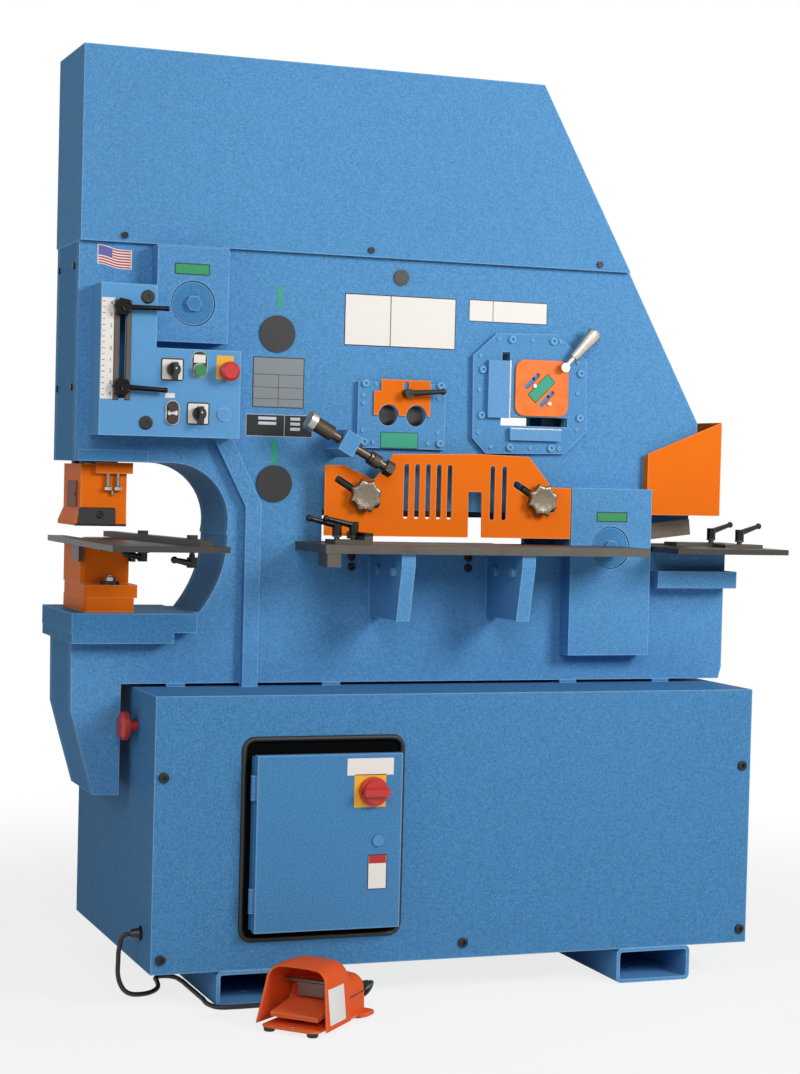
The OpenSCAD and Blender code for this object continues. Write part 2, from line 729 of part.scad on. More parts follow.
// Hardened tools and their holders on the frame
module fixed_blades() {
    y1 = beam_y0 - clear;
    color("#767d82") {
        span([win_x0, y_in0, table_z - 60], [win_x0 + 422, y1 - blade_t, table_z - 20]);
        span([win_x0, y1 - blade_t, table_z - 41], [win_x0 + 422, y1, table_z - 1]);
        difference() {
            round_plate(bar_x, bar_z, 130, 76, 12, y_front, y1);
            for (x = bar_holes) rod_y(x, bar_z, bar_r, y_front - 1, y1 + 1);
        }
        difference() {
            round_plate(angle_x - 4, angle_z, 190, 170, 20, y_front, y1);
            angle_opening(0, y_front - 1, y1 + 1);
        }
        span([angle_x - 104, y_front - 24, angle_z - 55], [angle_x - 51, y_front - 12, angle_z + 70]);
        span([angle_x - 50, y_front - 24, angle_z - 103], [angle_x + 73, y_front - 12, angle_z - 76]);
    }
}

// ---------------------------------------------------------------- punching end

punch_tip = table_z + 43;

// Punch and its coupling nut under the ram
module punch() {
    color("#6d757b") {
        translate([punch_x, y_mid, throat_z - 34]) cylinder(r = 32, h = 30);
        translate([punch_x, y_mid, throat_z - 50]) cylinder(r1 = 18, r2 = 24, h = 16.1);
        translate([punch_x, y_mid, punch_tip]) cylinder(d = die_hole_d - 0.6, h = throat_z - 49 - punch_tip);
    }
}

strip_w = 104;
strip_d = 132;
strip_z0 = table_z + 25;
strip_back = 34;

// Stripper box round the punch, hung under the upper jaw
module stripper() {
    x0 = punch_x - strip_w / 2;
    x1 = punch_x + strip_w / 2;
    y0 = y_mid - strip_d / 2;
    y1 = y_mid + strip_d / 2;
    color("#f0742a") difference() {
        union() {
            span([x0, y0, strip_z0], [x1 - 7, y1 + strip_back, throat_z - 6]);
            hull() {
                span([x0 - 12, y0 - 3, strip_z0], [x1 - 7, y1 + strip_back, strip_z0 + 8]);
                span([x0, y0, strip_z0], [x1 - 7, y1 + strip_back, strip_z0 + 36]);
            }
            span([punch_x - 22, y0 - 12, throat_z - 25], [x1 + 3, y1, throat_z - 2]);
            span([x0 + 8, y1 - 26, throat_z - 7], [x1 - 7, y1, throat_z]);
        }
        translate([punch_x, y_mid, strip_z0 + 22]) cylinder(r = ram_r + 3, h = throat_z);
        translate([punch_x, y_mid, strip_z0 - 1]) cylinder(r = 16, h = 60);
        span([x0 - 1, y0 + 38, strip_z0 + 42], [x0 + 16, y1 - 10, strip_z0 + 88]);
    }
}

holder_w = 102;
holder_y0 = y_mid - 121;
holder_y1 = y_mid + 99;
holder_step = 38;

// Die holder on the platform, in three steps
module die_holder() {
    color("#f0742a") difference() {
        union() {
            translate([punch_x, (holder_y0 + holder_step + holder_y1) / 2, platform_z + 57])
                linear_extrude(table_z - 5 - platform_z - 57)
                    round_rect(holder_w, holder_y1 - holder_y0 - holder_step, 10);
            translate([punch_x + 6, (holder_y0 + holder_y1) / 2, platform_z + 30]) linear_extrude(27.01)
                round_rect(holder_w + 9, holder_y1 - holder_y0 - 2, 12);
            translate([punch_x + 2, (holder_y0 + holder_y1) / 2, platform_z]) linear_extrude(30.01)
                round_rect(holder_w + 3, holder_y1 - holder_y0 - 6, 8);
        }
        translate([punch_x, y_mid, table_z - 35]) cylinder(r = 30, h = 40);
        translate([punch_x, y_mid, platform_z - 1]) cylinder(r = slug_r, h = table_z - platform_z);
    }
}

// Round die in the holder
module die() {
    color("#8f979c") difference() {
        translate([punch_x, y_mid, table_z - 35]) cylinder(r = 30, h = 34);
        translate([punch_x, y_mid, table_z - 36]) cylinder(d = die_hole_d, h = 40);
    }
}

ptable_x0 = x_left - 12;
ptable_x1 = x_left + 218;
ptable_y0 = y_cab - 215;

// Table round the die holder, on two slotted brackets
module punch_table() {
    color("#55585a") difference() {
        union() {
            span([ptable_x0, ptable_y0, table_z - 12], [ptable_x1, 45, table_z]);
            for (x = [punch_x - holder_w / 2 - 9, punch_x + holder_w / 2])
                span([x, y_mid - 96, table_z - 48], [x + 9, y_mid - 36, table_z - 11]);
        }
        span([punch_x - holder_w / 2, holder_y0 + holder_step - 1, table_z - 17],
             [punch_x + holder_w / 2, 46, table_z + 1]);
        for (y = [ptable_y0 + 60, holder_y0 - 65])
            span([ptable_x0 + 40, y - 5.5, table_z - 17], [ptable_x1 - 30, y + 5.5, table_z + 1]);
    }
}

fence_turn = -6.9;
fence_h = 12;

// Skewed fence bar with its clamp bolts and the hand levers under the table
module punch_fence() {
    t = [[ptable_x0 + 170, ptable_y0 + 60], [ptable_x0 + 138, holder_y0 - 65]];
    color("#5f6467") {
        translate([punch_x + 64, (ptable_y0 - 15) / 2, table_z]) rotate([0, 0, -fence_turn])
            span([-13, ptable_y0 / 2 + 8, 0], [13, -ptable_y0 / 2 - 12, fence_h]);
        for (p = t) {
            translate([p[0], p[1], table_z - 26]) cylinder(r = 5, h = 30 + fence_h);
            translate([p[0], p[1], table_z + fence_h - eps]) cylinder(r = 11, h = 8, $fn = 6);
            translate([p[0], p[1], table_z - 18]) mirror([0, 0, 1]) clamp_lever(20, 52, -8, 215);
        }
    }
}

// ---------------------------------------------------------------- controls

box_x0 = x_left + 28;
box_x1 = x_left + 144;
box_x2 = throat_x - 5;
box_z0 = throat_z + 53;
box_z1 = throat_z + 233;
box_z2 = throat_z + 360;
box_y = y_front - panel_d;
stop_x = box_x0 + 45;
stop_zu = box_z2 - 49;
stop_zl = box_z0 + 97;
col1 = box_x2 - 144;
col2 = box_x2 - 88;
col3 = box_x2 - 30;
row1 = box_z1 - 43;
row2 = box_z0 + 49;

// L-shaped control box on the front plate
module control_box() {
    w = 2.5;
    color("#5b97c7") difference() {
        union() {
            plate_xz([[box_x0, box_z0], [box_x2, box_z0], [box_x2, box_z1], [box_x1, box_z1],
                      [box_x1, box_z2], [box_x0, box_z2]], box_y, y_front);
            rod_y(col3 - 4, row2, 14, box_y - 3, box_y + 1);
        }
        plate_xz([[box_x0 + w, box_z0 + w], [box_x2 - w, box_z0 + w], [box_x2 - w, box_z1 - w],
                  [box_x1 - w, box_z1 - w], [box_x1 - w, box_z2 - w], [box_x0 + w, box_z2 - w]],
                 box_y + w, y_front - 2);
        span([stop_x - 6 - fit, box_y - 1, box_z0 + 75], [stop_x + 6 + fit, box_y + w + 1, box_z2 - 36]);
        for (p = [[col1, row1, 9], [col2, row2, 9], [col2, row1, 11], [col3, row1, 11],
                  [col1, row2 + 12, 8], [col1, row2 - 13, 8]])
            rod_y(p[0], p[1], p[2] + clear, box_y - 1, box_y + w + 1);
    }
}

// Stroke stop: a follower in the scale's slot with a pointing arm
module stop_form(z) {
    span([stop_x - 6, box_y - 4, z - 11], [stop_x + 6, box_y + 14, z + 11]);
    rod_y(stop_x, z, 13, box_y - 22, box_y - 3);
    span([stop_x, box_y - 20, z - 6], [stop_x + 80, box_y - 9, z + 6]);
    rod_y(stop_x + 80, z, 8, box_y - 22, box_y - 7);
}

module stop_upper() { color("#24282b") stop_form(stop_zu); }

module stop_lower() { color("#24282b") stop_form(stop_zl); }

// Rotary selector: a round base with a raised grip
module selector_form(x, z, turn) {
    rod_y(x, z, 9, box_y - 8, box_y + 20);
    rod_y(x, z, 14, box_y - 12, box_y - 3);
    translate([x, 0, z]) rotate([0, turn, 0]) span([-4.5, box_y - 26, -14], [4.5, box_y - 11, 14]);
}

module selector_left() { color("#24282b") selector_form(col1, row1, 0); }

module selector_right() { color("#24282b") selector_form(col2, row2, 0); }

// Push buttons: a cap on a round stem that slides in the box's face
module start_button() {
    color("#2aa35a") {
        rod_y(col2, row1, 11, box_y - 5, box_y + 22);
        rod_y(col2, row1, 12.5, box_y - 13, box_y - 5);
    }
}

module estop_button() {
    color("#d42a1e") {
        rod_y(col3, row1, 11, box_y - 17, box_y + 22);
        rod_y(col3, row1, 20, box_y - 30, box_y - 16);
        translate([col3, box_y - 30, row1]) rotate([90, 0, 0]) cylinder(r1 = 20, r2 = 15, h = 5);
    }
}

module jog_form(z) {
    rod_y(col1, z, 8, box_y - 3, box_y + 18);
    rod_y(col1, z, 10, box_y - 9, box_y - 3);
}

module jog_up() { color("#d8dde0") jog_form(row2 + 12); }

module jog_down() { color("#d8dde0") jog_form(row2 - 13); }

// Emergency palm button on the cabinet's side
module palm_button() {
    color("#d42a1e") translate([-x_cab, palm_y, palm_z]) rotate([0, -90, 0]) {
        translate([0, 0, -20]) cylinder(r = 11 - fit, h = 46);
        translate([0, 0, 20]) cylinder(r = 30, h = 10);
        translate([0, 0, 30]) cylinder(r1 = 30, r2 = 22, h = 7);
    }
}

// ---------------------------------------------------------------- shear covers and guards

plate_y = y_front - 12;
guard_y1 = plate_y - clear;
guard_y0 = guard_y1 - guard_t;

// Screwed plate with the two holes of the bar shear
module bar_shear_plate() {
    color("#5b97c7") difference() {
        span([bar_x - 101, plate_y, bar_z - 71], [bar_x + 100, y_front, bar_z + 71]);
        for (x = bar_holes) rod_y(x, bar_z, bar_r, plate_y - 1, y_front + 1);
        rod_y(bar_x + 7, bar_z + 48, 5 + fit, plate_y - 1, y_front + 1);
    }
}

// Sheet guard that slides up and down over the bar holes
module bar_guard() {
    color("#f0742a") difference() {
        plate_xz([[bar_x - 66, bar_z], [bar_x + 63, bar_z], [bar_x + 63, bar_z + 77],
                  [bar_x - 50, bar_z + 77], [bar_x - 50, bar_z + 52], [bar_x - 66, bar_z + 52]],
                 guard_y0, guard_y1);
        for (x = bar_holes) rod_y(x, bar_z, bar_r + 2, guard_y0 - 1, guard_y1 + 1);
        slot_y([bar_x + 7, bar_z + 46], [bar_x + 7, bar_z + 68], 6, guard_y0 - 1, guard_y1 + 1);
    }
}

// Clamp lever of the bar guard
module bar_lever() {
    color("#24282b") {
        rod_y(bar_x + 7, bar_z + 48, 5, guard_y0 - 6, y_front - 1);
        rod_y(bar_x + 7, bar_z + 48, 10, guard_y0 - 24, guard_y0 - clear);
        bar_between([bar_x + 7, guard_y0 - 18, bar_z + 48], [bar_x + 82, guard_y0 - 26, bar_z + 54], 7, 5);
        translate([bar_x + 82, guard_y0 - 26, bar_z + 54]) sphere(r = 7, $fn = 24);
    }
}

// Eight-sided plate with the L-shaped opening of the angle shear
module angle_plate() {
    color("#5b97c7") difference() {
        plate_xz([[angle_x - 82, angle_z + 129], [angle_x + 59, angle_z + 133], [angle_x + 135, angle_z + 78],
                  [angle_x + 139, angle_z - 81], [angle_x + 87, angle_z - 130],
                  [angle_x - 102, angle_z - 134],
                  [angle_x - 134, angle_z - 101], [angle_x - 137, angle_z + 79]], plate_y, y_front);
        angle_opening(0, plate_y - 1, y_front + 1);
        for (s = [-1, 1])
            rod_y(angle_x + 26 + s * 18, angle_z + 14 - s * 19, 4, plate_y - 1, y_front - 3);
    }
}

// Round-cornered sheet guard with a turned handle; it slides at 45 degrees on two screws
module angle_guard() {
    c = [angle_x + 26, angle_z + 14];
    color("#f0742a") difference() {
        round_plate(c[0] + 1, c[1] - 1, 127, 123, 22, guard_y0, guard_y1);
        for (s = [-1, 1]) {
            p = [c[0] + s * 18, c[1] - s * 19];
            slot_y([p[0] - 18, p[1] - 18], [p[0] + 8, p[1] + 8], 5, guard_y0 - 1, guard_y1 + 1);
        }
    }
    color("#c9d0d5") {
        a = [c[0] + 49, guard_y0 - 12, c[1] + 46];
        rod_y(a[0], a[2], 10, a[1] - 6, guard_y0 + eps);
        bar_between(a, a + [30, 0, 33], 6, 6);
        bar_between(a + [20, 0, 22], a + [70, 0, 77], 10, 17);
        bar_between(a + [69, 0, 75.9], a + [73, 0, 80.3], 17.5, 13);
    }
}

hold_a = [bar_x - 237, y_front - 90, bar_z - 16];
hold_d = [cos(-28.7), 0, sin(-28.7)];
hold_block = hold_a + 100 * hold_d;

// Brackets welded to the frame: table gussets, notcher base and ledge, hold-down block
module welded_brackets() {
    color("#5b97c7") {
        for (x = [bar_x - 60, win_x0 + 384]) translate([x, 0, 0]) rotate([90, 0, 90]) linear_extrude(30)
            polygon([[y_front, table_z - table_t], [y_front - 195, table_z - table_t],
                     [y_front - 195, table_z - 44], [y_front - 168, table_z - 159], [y_front, table_z - 159]]);
        // notcher base: a front ledge, the base on it and the die bed between the side plates
        span([notch_x + 12, y_front - 50, notch_z - 81], [notch_x + 210, y_front, notch_z - 43]);
        span([notch_x + 5, y_front - 15, notch_z - 43], [notch_x + 198, y_front, notch_z]);
        difference() {
            span([notch_x + 5, y_in0, notch_z - 50], [notch_x + 200, y_in1, notch_z]);
            span([notch_x + 10, beam_y0 - 3, notch_z - 60], [notch_x + 170, beam_y1 + 3, notch_z + 1]);
        }
        // hold-down block, square to its screw
        difference() {
            translate(hold_block) rotate([0, 28.7, 0]) span([-18, -20, -23], [18, 90, 23]);
            bar_between(hold_block - 40 * hold_d, hold_block + 40 * hold_d, 10 + fit, 10 + fit);
            span([hold_block[0] - 60, y_front, hold_block[2] - 60],
                 [hold_block[0] + 60, y_front + 40, hold_block[2] + 60]);
        }
    }
}

// Screw that holds flat stock down against the tipping of the cut
module hold_down_screw() {
    color("#4a4f53") {
        bar_between(hold_a, hold_a + 214 * hold_d, 10, 10);
        translate(hold_a) rotate([0, 90 + 28.7, 0]) cylinder(r = 21, h = 16, $fn = 6);
        bar_between(hold_a + 16 * hold_d, hold_a + 60 * hold_d, 15.5, 15.5);
        translate(hold_a + 196 * hold_d) rotate([0, 90 + 28.7, 0]) cylinder(r = 17, h = 18, $fn = 6);
    }
}

sg_y0 = y_front - block_t;
sg_y1 = sg_y0 + guard_t;
sg_x = win_x0 - 10.5;
sg_studs = [[sg_x + 86, table_z + 99], [sg_x + 496, table_z + 97]];
slant = [cos(-31), sin(-31)];

// Sheet guard of the flat shear, slotted to see through and hung on two studs
module shear_guard() {
    x0 = sg_x;
    z0 = table_z + 14;
    color("#f0742a") difference() {
        plate_xz([[x0, z0], [x0 - 1, z0 + 149], [x0 + 41, z0 + 150], [x0 + 108, z0 + 120],
                  [x0 + 142, z0 + 157], [x0 + 150, z0 + 176], [x0 + 354, z0 + 181], [x0 + 468, z0 + 178],
                  [x0 + 524, z0 + 112], [x0 + 571, z0 + 112], [x0 + 571, z0], [x0 + 360, z0],
                  [x0 + 358, z0 + 99], [x0 + 327, z0 + 99], [x0 + 328, z0]], sg_y0, sg_y1);
        for (x = [183, 208, 233, 258, 283, 383, 411])
            slot_y([x0 + x, z0 + 44], [x0 + x, z0 + 151], 5.5, sg_y0 - 1, sg_y1 + 1);
        for (p = sg_studs)
            slot_y(p - 65 * slant, p + 34 * slant, 8, sg_y0 - 1, sg_y1 + 1);
    }
}

// Lobed knob on a stud fixed in the front plate
module star_knob(p) {
    rod_y(p[0], p[1], 7, sg_y0 - 4, y_front);
    translate([p[0], sg_y0 - clear, p[1]]) rotate([90, 0, 0]) {
        cylinder(r = 13, h = 6);
        difference() {
            translate([0, 0, 5]) cylinder(r = 30, h = 18);
            for (k = [0 : 6]) rotate(12 + k * 360 / 7) translate([35, 0, 0]) cylinder(r = 12.5, h = 30);
        }
    }
}

module guard_knob_left() { color("#1f2326") star_knob(sg_studs[0]); }

module guard_knob_right() { color("#1f2326") star_knob(sg_studs[1]); }

stable_x0 = win_x0 - 58;
stable_x1 = stable_x0 + table_l;
stable_y0 = y_front - table_d;

// Table in front of the flat shear, with a T-slot and a milled block at its left end
module shear_table() {
    color("#5f5a55") difference() {
        union() {
            span([stable_x0, stable_y0, table_z - table_t], [stable_x1, y_front, table_z]);
            span([stable_x0 + 4, stable_y0 + 2, table_z - table_t - 28],
                 [stable_x0 + 34, stable_y0 + 60, table_z - table_t]);
        }
        span([right_block[0][0], y_front - block_t, table_z - table_t - 1],
             [stable_x1 + 1, y_front + 1, table_z + 1]);
        rod_y(beam_x, beam_z, 21, y_front - block_t - 10, y_front - block_t + 1);
        span([stable_x0 + 60, stable_y0 + 58, table_z - 7], [stable_x1 - 60, stable_y0 + 70, table_z + 1]);
        span([stable_x0 + 60, stable_y0 + 53, table_z - 12],
             [stable_x1 - 60, stable_y0 + 75, table_z - 6.9]);
    }
}

// Clamped gauge that slides along the table's slot
module table_gauge() {
    color("#5f6467") {
        span([stable_x0 + 30, stable_y0 + 30, table_z], [stable_x0 + 112, stable_y0 + 98, table_z + 9]);
        span([stable_x0 + 94, stable_y0 + 30, table_z + 9 - eps],
             [stable_x0 + 112, stable_y0 + 145, table_z + 24]);
        for (x = [48, 85]) translate([stable_x0 + x, stable_y0 + 75, table_z + 9 - eps])
            clamp_lever(32, 66, 14, 190);
    }
}

ntable_x0 = notch_x - 5;
ntable_x1 = x_cab + 90;
ntable_y0 = y_front - 175;

// Table of the notcher, open under the blade
module notcher_table() {
    color("#5f5a55") difference() {
        span([ntable_x0, ntable_y0, notch_z], [ntable_x1, y_back, table_z]);
        span([ntable_x0 - 1, y_front - 50, notch_z - 1], [notch_x, y_back + 1, table_z + 1]);
        span([notch_x + 10, beam_y0 - 3, notch_z - 1], [notch_x + 170, beam_y1 + 3, table_z + 1]);
    }
}

// Two crossed stop bars with their clamp levers
module notcher_gauge() {
    color("#5f6467") {
        span([ntable_x0 + 90, y_front + 5, table_z], [ntable_x0 + 235, y_front + 68, table_z + 8]);
        span([ntable_x0 + 160, y_front - 95, table_z], [ntable_x0 + 255, y_front - 35, table_z + 8]);
        span([ntable_x0 + 200, y_front - 36, table_z], [ntable_x0 + 232, y_front + 6, table_z + 8]);
        translate([ntable_x0 + 196, y_front + 40, table_z + 7.9]) clamp_lever(28, 64, 16, 20);
        translate([ntable_x0 + 213, y_front - 62, table_z + 7.9]) clamp_lever(28, 64, 16, 20);
    }
}

// Sheet guard folded round the notcher, open above and below
module notcher_guard() {
    x0 = notch_x - 7;
    x1 = notch_x + 177;
    y0 = y_front - 22;
    y1 = y_back + 18;
    z0 = table_z + 70;
    g = guard_t;
    rise = 75;
    h = 137;
    color("#f0742a") {
        plate_xz([[x0, z0], [x1, z0], [x1, z0 + h + rise], [x0, z0 + h]], y0, y0 + g);
        span([x1 - g, y0 + g - eps, z0], [x1, y1, z0 + h + rise]);
        plate_xz([[slope_x1 + 10, z0], [x1, z0], [x1, z0 + h + rise],
                  [slope_x1 + 10, z0 + h + rise]], y1 - g, y1);
        plate_xz([[slope_x1 - 40, z0 + 110], [slope_x1 + 11, z0 + 110], [slope_x1 + 11, z0 + 140],
                  [slope_x1 - 40, z0 + 140]], y1 - g, y1);
        span([slope_x1 - 40, y_back, z0 + 110], [slope_x1 - 36, y1 - g + eps, z0 + 140]);
        span([x0, y0 + g - eps, z0 + 20], [x0 + g, y_front, z0 + h - 6]);
    }
}

// ---------------------------------------------------------------- foot switch and cord

pedal_at = [-x_cab + 221, y_cab - 235, 0];
pedal_turn = -47;
pedal_l = 215;
base_z = 4;
base_t = 9;
hinge_py = 122;
hinge_pz = 46;

module at_pedal() {
    translate(pedal_at) rotate([0, 0, pedal_turn]) children();
}

// Arched outline of the foot switch's shield
module arch(w, h, r) {
    translate([-w / 2, 0]) square([w, h - r]);
    translate([-w / 2 + r, h - r - 1]) square([w - 2 * r, r + 1]);
    for (s = [-1, 1]) translate([s * (w / 2 - r), h - r]) circle(r = r, $fn = 48);
}

// Foot switch: base with rubber feet, an arched shield open at the front and a low rear housing
module pedal_housing() {
    wall = 4;
    z0 = base_z + base_t;
    color("#e8552a") at_pedal() {
        difference() {
            union() {
                translate([0, pedal_l / 2, base_z]) linear_extrude(base_t)
                    round_rect(pedal_w + 8, pedal_l, 14);
                translate([0, 118, z0 - eps]) rotate([90, 0, 0]) linear_extrude(114)
                    arch(pedal_w, pedal_h - z0, 46);
                translate([0, 200, z0 - eps]) rotate([90, 0, 0]) linear_extrude(90)
                    arch(pedal_w - 16, 76, 26);
            }
            difference() {
                translate([0, 114, z0]) rotate([90, 0, 0]) linear_extrude(120)
                    arch(pedal_w - 2 * wall, pedal_h - z0 - wall, 42);
                for (s = [-1, 1]) {
                    span([s * 62 - 8, hinge_py - 25, 0], [s * 62 + 8, 115, hinge_pz + 12]);
                    span([s * 62 - 8, hinge_py - 43, 76], [s * 62 + 8, hinge_py - 25, 97]);
                }
            }
            translate([-61, hinge_py - 14, hinge_pz]) rotate([0, 90, 0]) cylinder(r = 6 + fit, h = 122);
            translate([-61, hinge_py - 34, 86]) rotate([0, 90, 0]) cylinder(r = 4 + fit, h = 122);
            translate([0, 196, z0]) rotate([90, 0, 0]) linear_extrude(78)
                arch(pedal_w - 24, 70, 22);
            span([-40, 100, z0 + 8], [40, 120, z0 + 62]);
            translate([48, 205, 60]) rotate([90, 0, 0]) cylinder(r = 9, h = 14);
        }
        for (x = [-58, 58], y = [22, pedal_l - 22]) translate([x, y, 0]) cylinder(r = 11, h = base_z + eps);
    }
}

// Treadle plate on its hinge pin
module treadle() {
    color("#d96a32") at_pedal() {
        translate([-60, hinge_py - 14, hinge_pz]) rotate([0, 90, 0]) cylinder(r = 6, h = 120);
        translate([-52, 0, 0]) rotate([90, 0, 90]) linear_extrude(104)
            polygon([[14, 26], [hinge_py - 14, hinge_pz - 4], [hinge_py - 14, hinge_pz + 5], [12, 35]]);
    }
}

// Toe latch that has to be pushed back before the treadle moves
module toe_latch() {
    color("#9aa3a8") at_pedal() {
        translate([-60, hinge_py - 34, 86]) rotate([0, 90, 0]) cylinder(r = 4, h = 120);
        translate([-34, 0, 0]) rotate([90, 0, 90]) linear_extrude(68)
            polygon([[hinge_py - 36, 86], [hinge_py - 32, 86], [hinge_py - 28, 56], [hinge_py - 34, 56]]);
    }
}

function in_world(p) = pedal_at + [p[0] * cos(pedal_turn) - p[1] * sin(pedal_turn),
    p[0] * sin(pedal_turn) + p[1] * cos(pedal_turn), p[2]];

cord_a = [-x_cab - 24, gland_y, gland_z];
cord_b = in_world([48, 229, 60]);

// Gland in the cabinet's side and the strain relief on the foot switch
module cord_fittings() {
    color("#26292c") {
        translate([-x_cab, gland_y, gland_z]) rotate([0, -90, 0]) {
            translate([0, 0, -14]) cylinder(r = 10, h = 20);
            cylinder(r = 15, h = 6, $fn = 6);
            translate([0, 0, 5]) cylinder(r1 = 12, r2 = 8, h = 19);
        }
        at_pedal() translate([48, 195, 60]) rotate([-90, 0, 0]) {
            cylinder(r = 9, h = 9);
            translate([0, 0, 5]) cylinder(r = 12, h = 6, $fn = 6);
            translate([0, 0, 10]) cylinder(r1 = 11, r2 = 8, h = 24);
        }
    }
}

function unit(v) = v / norm(v);

cord_r = cord_d / 2;
cord_z = cord_r;
tube_x = -tube_span / 2 - tube_w / 2 - 9;
cord_path = [cord_a, cord_a + [-14, 1, -4], [-x_cab - 44, gland_y + 10, gland_z - 60],
    [-x_cab - 34, gland_y + 22, gland_z - 110], [-x_cab - 6, gland_y + 42, cord_z + 5],
    [-x_cab + 34, gland_y + 64, cord_z], [-x_cab + 66, gland_y + 110, cord_z],
    [-x_cab + 78, gland_y + 165, cord_z], [-x_cab + 84, gland_y + 196, cord_z],
    [-x_cab + 100, gland_y + 207, cord_z], [tube_x - 9, gland_y + 196, cord_z],
    [tube_x - 1, gland_y + 160, cord_z], [tube_x, gland_y + 100, cord_z], [tube_x, gland_y - 10, cord_z],
    [tube_x, y_cab + 14, cord_z], [tube_x + 12, y_cab - 9, cord_z], [tube_x + 44, y_cab - 15, cord_z],
    [tube_x + 120, y_cab - 13, cord_z], [tube_x + 190, y_cab - 13, cord_z],
    [tube_x + 240, y_cab - 24, cord_z + 4], in_world([10, 262, 22]), in_world([34, 268, 44]),
    cord_b + 14 * unit(cord_b - in_world([48, 200, 60])), cord_b];

// Smooth curve through the cord's points
function spline(p0, p1, p2, p3, t) = 0.5 * ((2 * p1) + (p2 - p0) * t
    + (2 * p0 - 5 * p1 + 4 * p2 - p3) * t * t + (3 * p1 - p0 - 3 * p2 + p3) * t * t * t);
cn = len(cord_path);
cord_pts = [for (i = [0 : cn - 2], k = [0 : 2])
    spline(cord_path[max(i - 1, 0)], cord_path[i], cord_path[i + 1], cord_path[min(i + 2, cn - 1)], k / 3),
    cord_path[cn - 1]];
cm = len(cord_pts);

function tangent(i) = i == 0 ? [-1, 0, 0] : i == cm - 1 ? unit(in_world([48, 200, 60]) - cord_b)
    : unit(cord_pts[i + 1] - cord_pts[i - 1]);
function side_of(t, s) = unit(s - (s * t) * t);
function sides(i, s) = i == cm ? [] : let (v = side_of(tangent(i), s)) concat([v], sides(i + 1, v));
cord_sides = sides(0, [0, 1, 0]);

// Cord of the foot switch, lying on the floor
module cord() {
    n = 8;
    color("#1b1d1f") polyhedron(
        points = [for (i = [0 : cm - 1], k = [0 : n - 1])
            let (t = tangent(i), a = cord_sides[i], b = cross(t, a), w = 360 * k / n + 22.5)
            cord_pts[i] + cord_r * (cos(w) * a + sin(w) * b)],
        faces = concat([[for (k = [0 : n - 1]) k]],
            [for (i = [0 : cm - 2], k = [0 : n - 1]) let (j = (k + 1) % n)
                [i * n + k, (i + 1) * n + k, (i + 1) * n + j]],
            [for (i = [0 : cm - 2], k = [0 : n - 1]) let (j = (k + 1) % n)
                [i * n + k, (i + 1) * n + j, i * n + j]],
            [[for (k = [n - 1 : -1 : 0]) (cm - 1) * n + k]]));
}

// ---------------------------------------------------------------- power unit

// Motor, pump and oil tank on the cabinet's floor
module power_unit() {
    z = tube_h + cab_sheet;
    color("#4b5358") {
        span([-20, 60, z], [430, 260, z + 16]);
        span([40, 90, z + 16 - eps], [330, 230, z + 60]);
        translate([20, 160, z + 150]) rotate([0, 90, 0]) cylinder(r = 95, h = 330);
        translate([349, 160, z + 150]) rotate([0, 90, 0]) cylinder(r = 55, h = 50);
        span([398, 120, z + 16 - eps], [430, 200, z + 200]);
        span([120, 110, z + 235], [220, 210, z + 290]);
    }
    color("#3f79ae") {
        span([-420, 20, z], [-90, 300, z + 260]);
        translate([-330, 160, z + 260 - eps]) cylinder(r = 30, h = 40);
    }
}

foot_tubes();
cabinet();
rear_panel();
electrical_box();
cabinet_door();
disconnect_knob();
door_latch();
front_plate();
rear_plate();
frame_webs();
hood();
cover_screws();
pivot_blocks();
wiring_duct();
pin_covers();
pivot_pins();
punch_rocker();
punch_ram();
cylinder_barrel();
cylinder_rod();
shear_beam();
moving_blades();
fixed_blades();
punch();
stripper();
die_holder();
die();
punch_table();
punch_fence();
control_box();
stop_upper();
stop_lower();
selector_left();
selector_right();
start_button();
estop_button();
jog_up();
jog_down();
bar_shear_plate();
bar_guard();
bar_lever();
angle_plate();
angle_guard();
welded_brackets();
hold_down_screw();
shear_guard();
guard_knob_left();
guard_knob_right();
shear_table();
table_gauge();
notcher_table();
notcher_guard();
notcher_gauge();
palm_button();
pedal_housing();
treadle();
toe_latch();
cord_fittings();
cord();
power_unit();
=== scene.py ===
import json
import math
import bmesh
import bpy
from mathutils import Matrix, Vector


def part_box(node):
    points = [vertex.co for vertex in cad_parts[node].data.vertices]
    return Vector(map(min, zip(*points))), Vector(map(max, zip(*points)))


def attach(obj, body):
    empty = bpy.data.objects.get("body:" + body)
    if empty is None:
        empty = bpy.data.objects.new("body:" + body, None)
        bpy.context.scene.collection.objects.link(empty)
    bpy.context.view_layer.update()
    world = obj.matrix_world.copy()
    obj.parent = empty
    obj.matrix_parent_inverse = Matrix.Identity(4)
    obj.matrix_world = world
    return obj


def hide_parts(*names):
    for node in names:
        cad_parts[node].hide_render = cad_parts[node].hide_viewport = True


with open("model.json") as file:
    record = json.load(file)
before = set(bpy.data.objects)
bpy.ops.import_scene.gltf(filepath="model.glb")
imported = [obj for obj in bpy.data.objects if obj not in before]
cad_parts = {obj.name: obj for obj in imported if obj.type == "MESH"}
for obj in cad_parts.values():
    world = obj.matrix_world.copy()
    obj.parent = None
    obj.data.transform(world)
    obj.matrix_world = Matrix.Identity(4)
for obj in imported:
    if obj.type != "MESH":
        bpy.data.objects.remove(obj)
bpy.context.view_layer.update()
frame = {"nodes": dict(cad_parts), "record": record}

# ---- Studio: a camera at standing height in front of the left-hand end, a large pale
# floor, and soft lamps overhead, to the right and at the left.
yaw, pitch, roll = (math.radians(a) for a in (20.544, 1.613, -1.416))
forward = Vector((math.sin(yaw) * math.cos(pitch), math.cos(yaw) * math.cos(pitch),
                  -math.sin(pitch)))
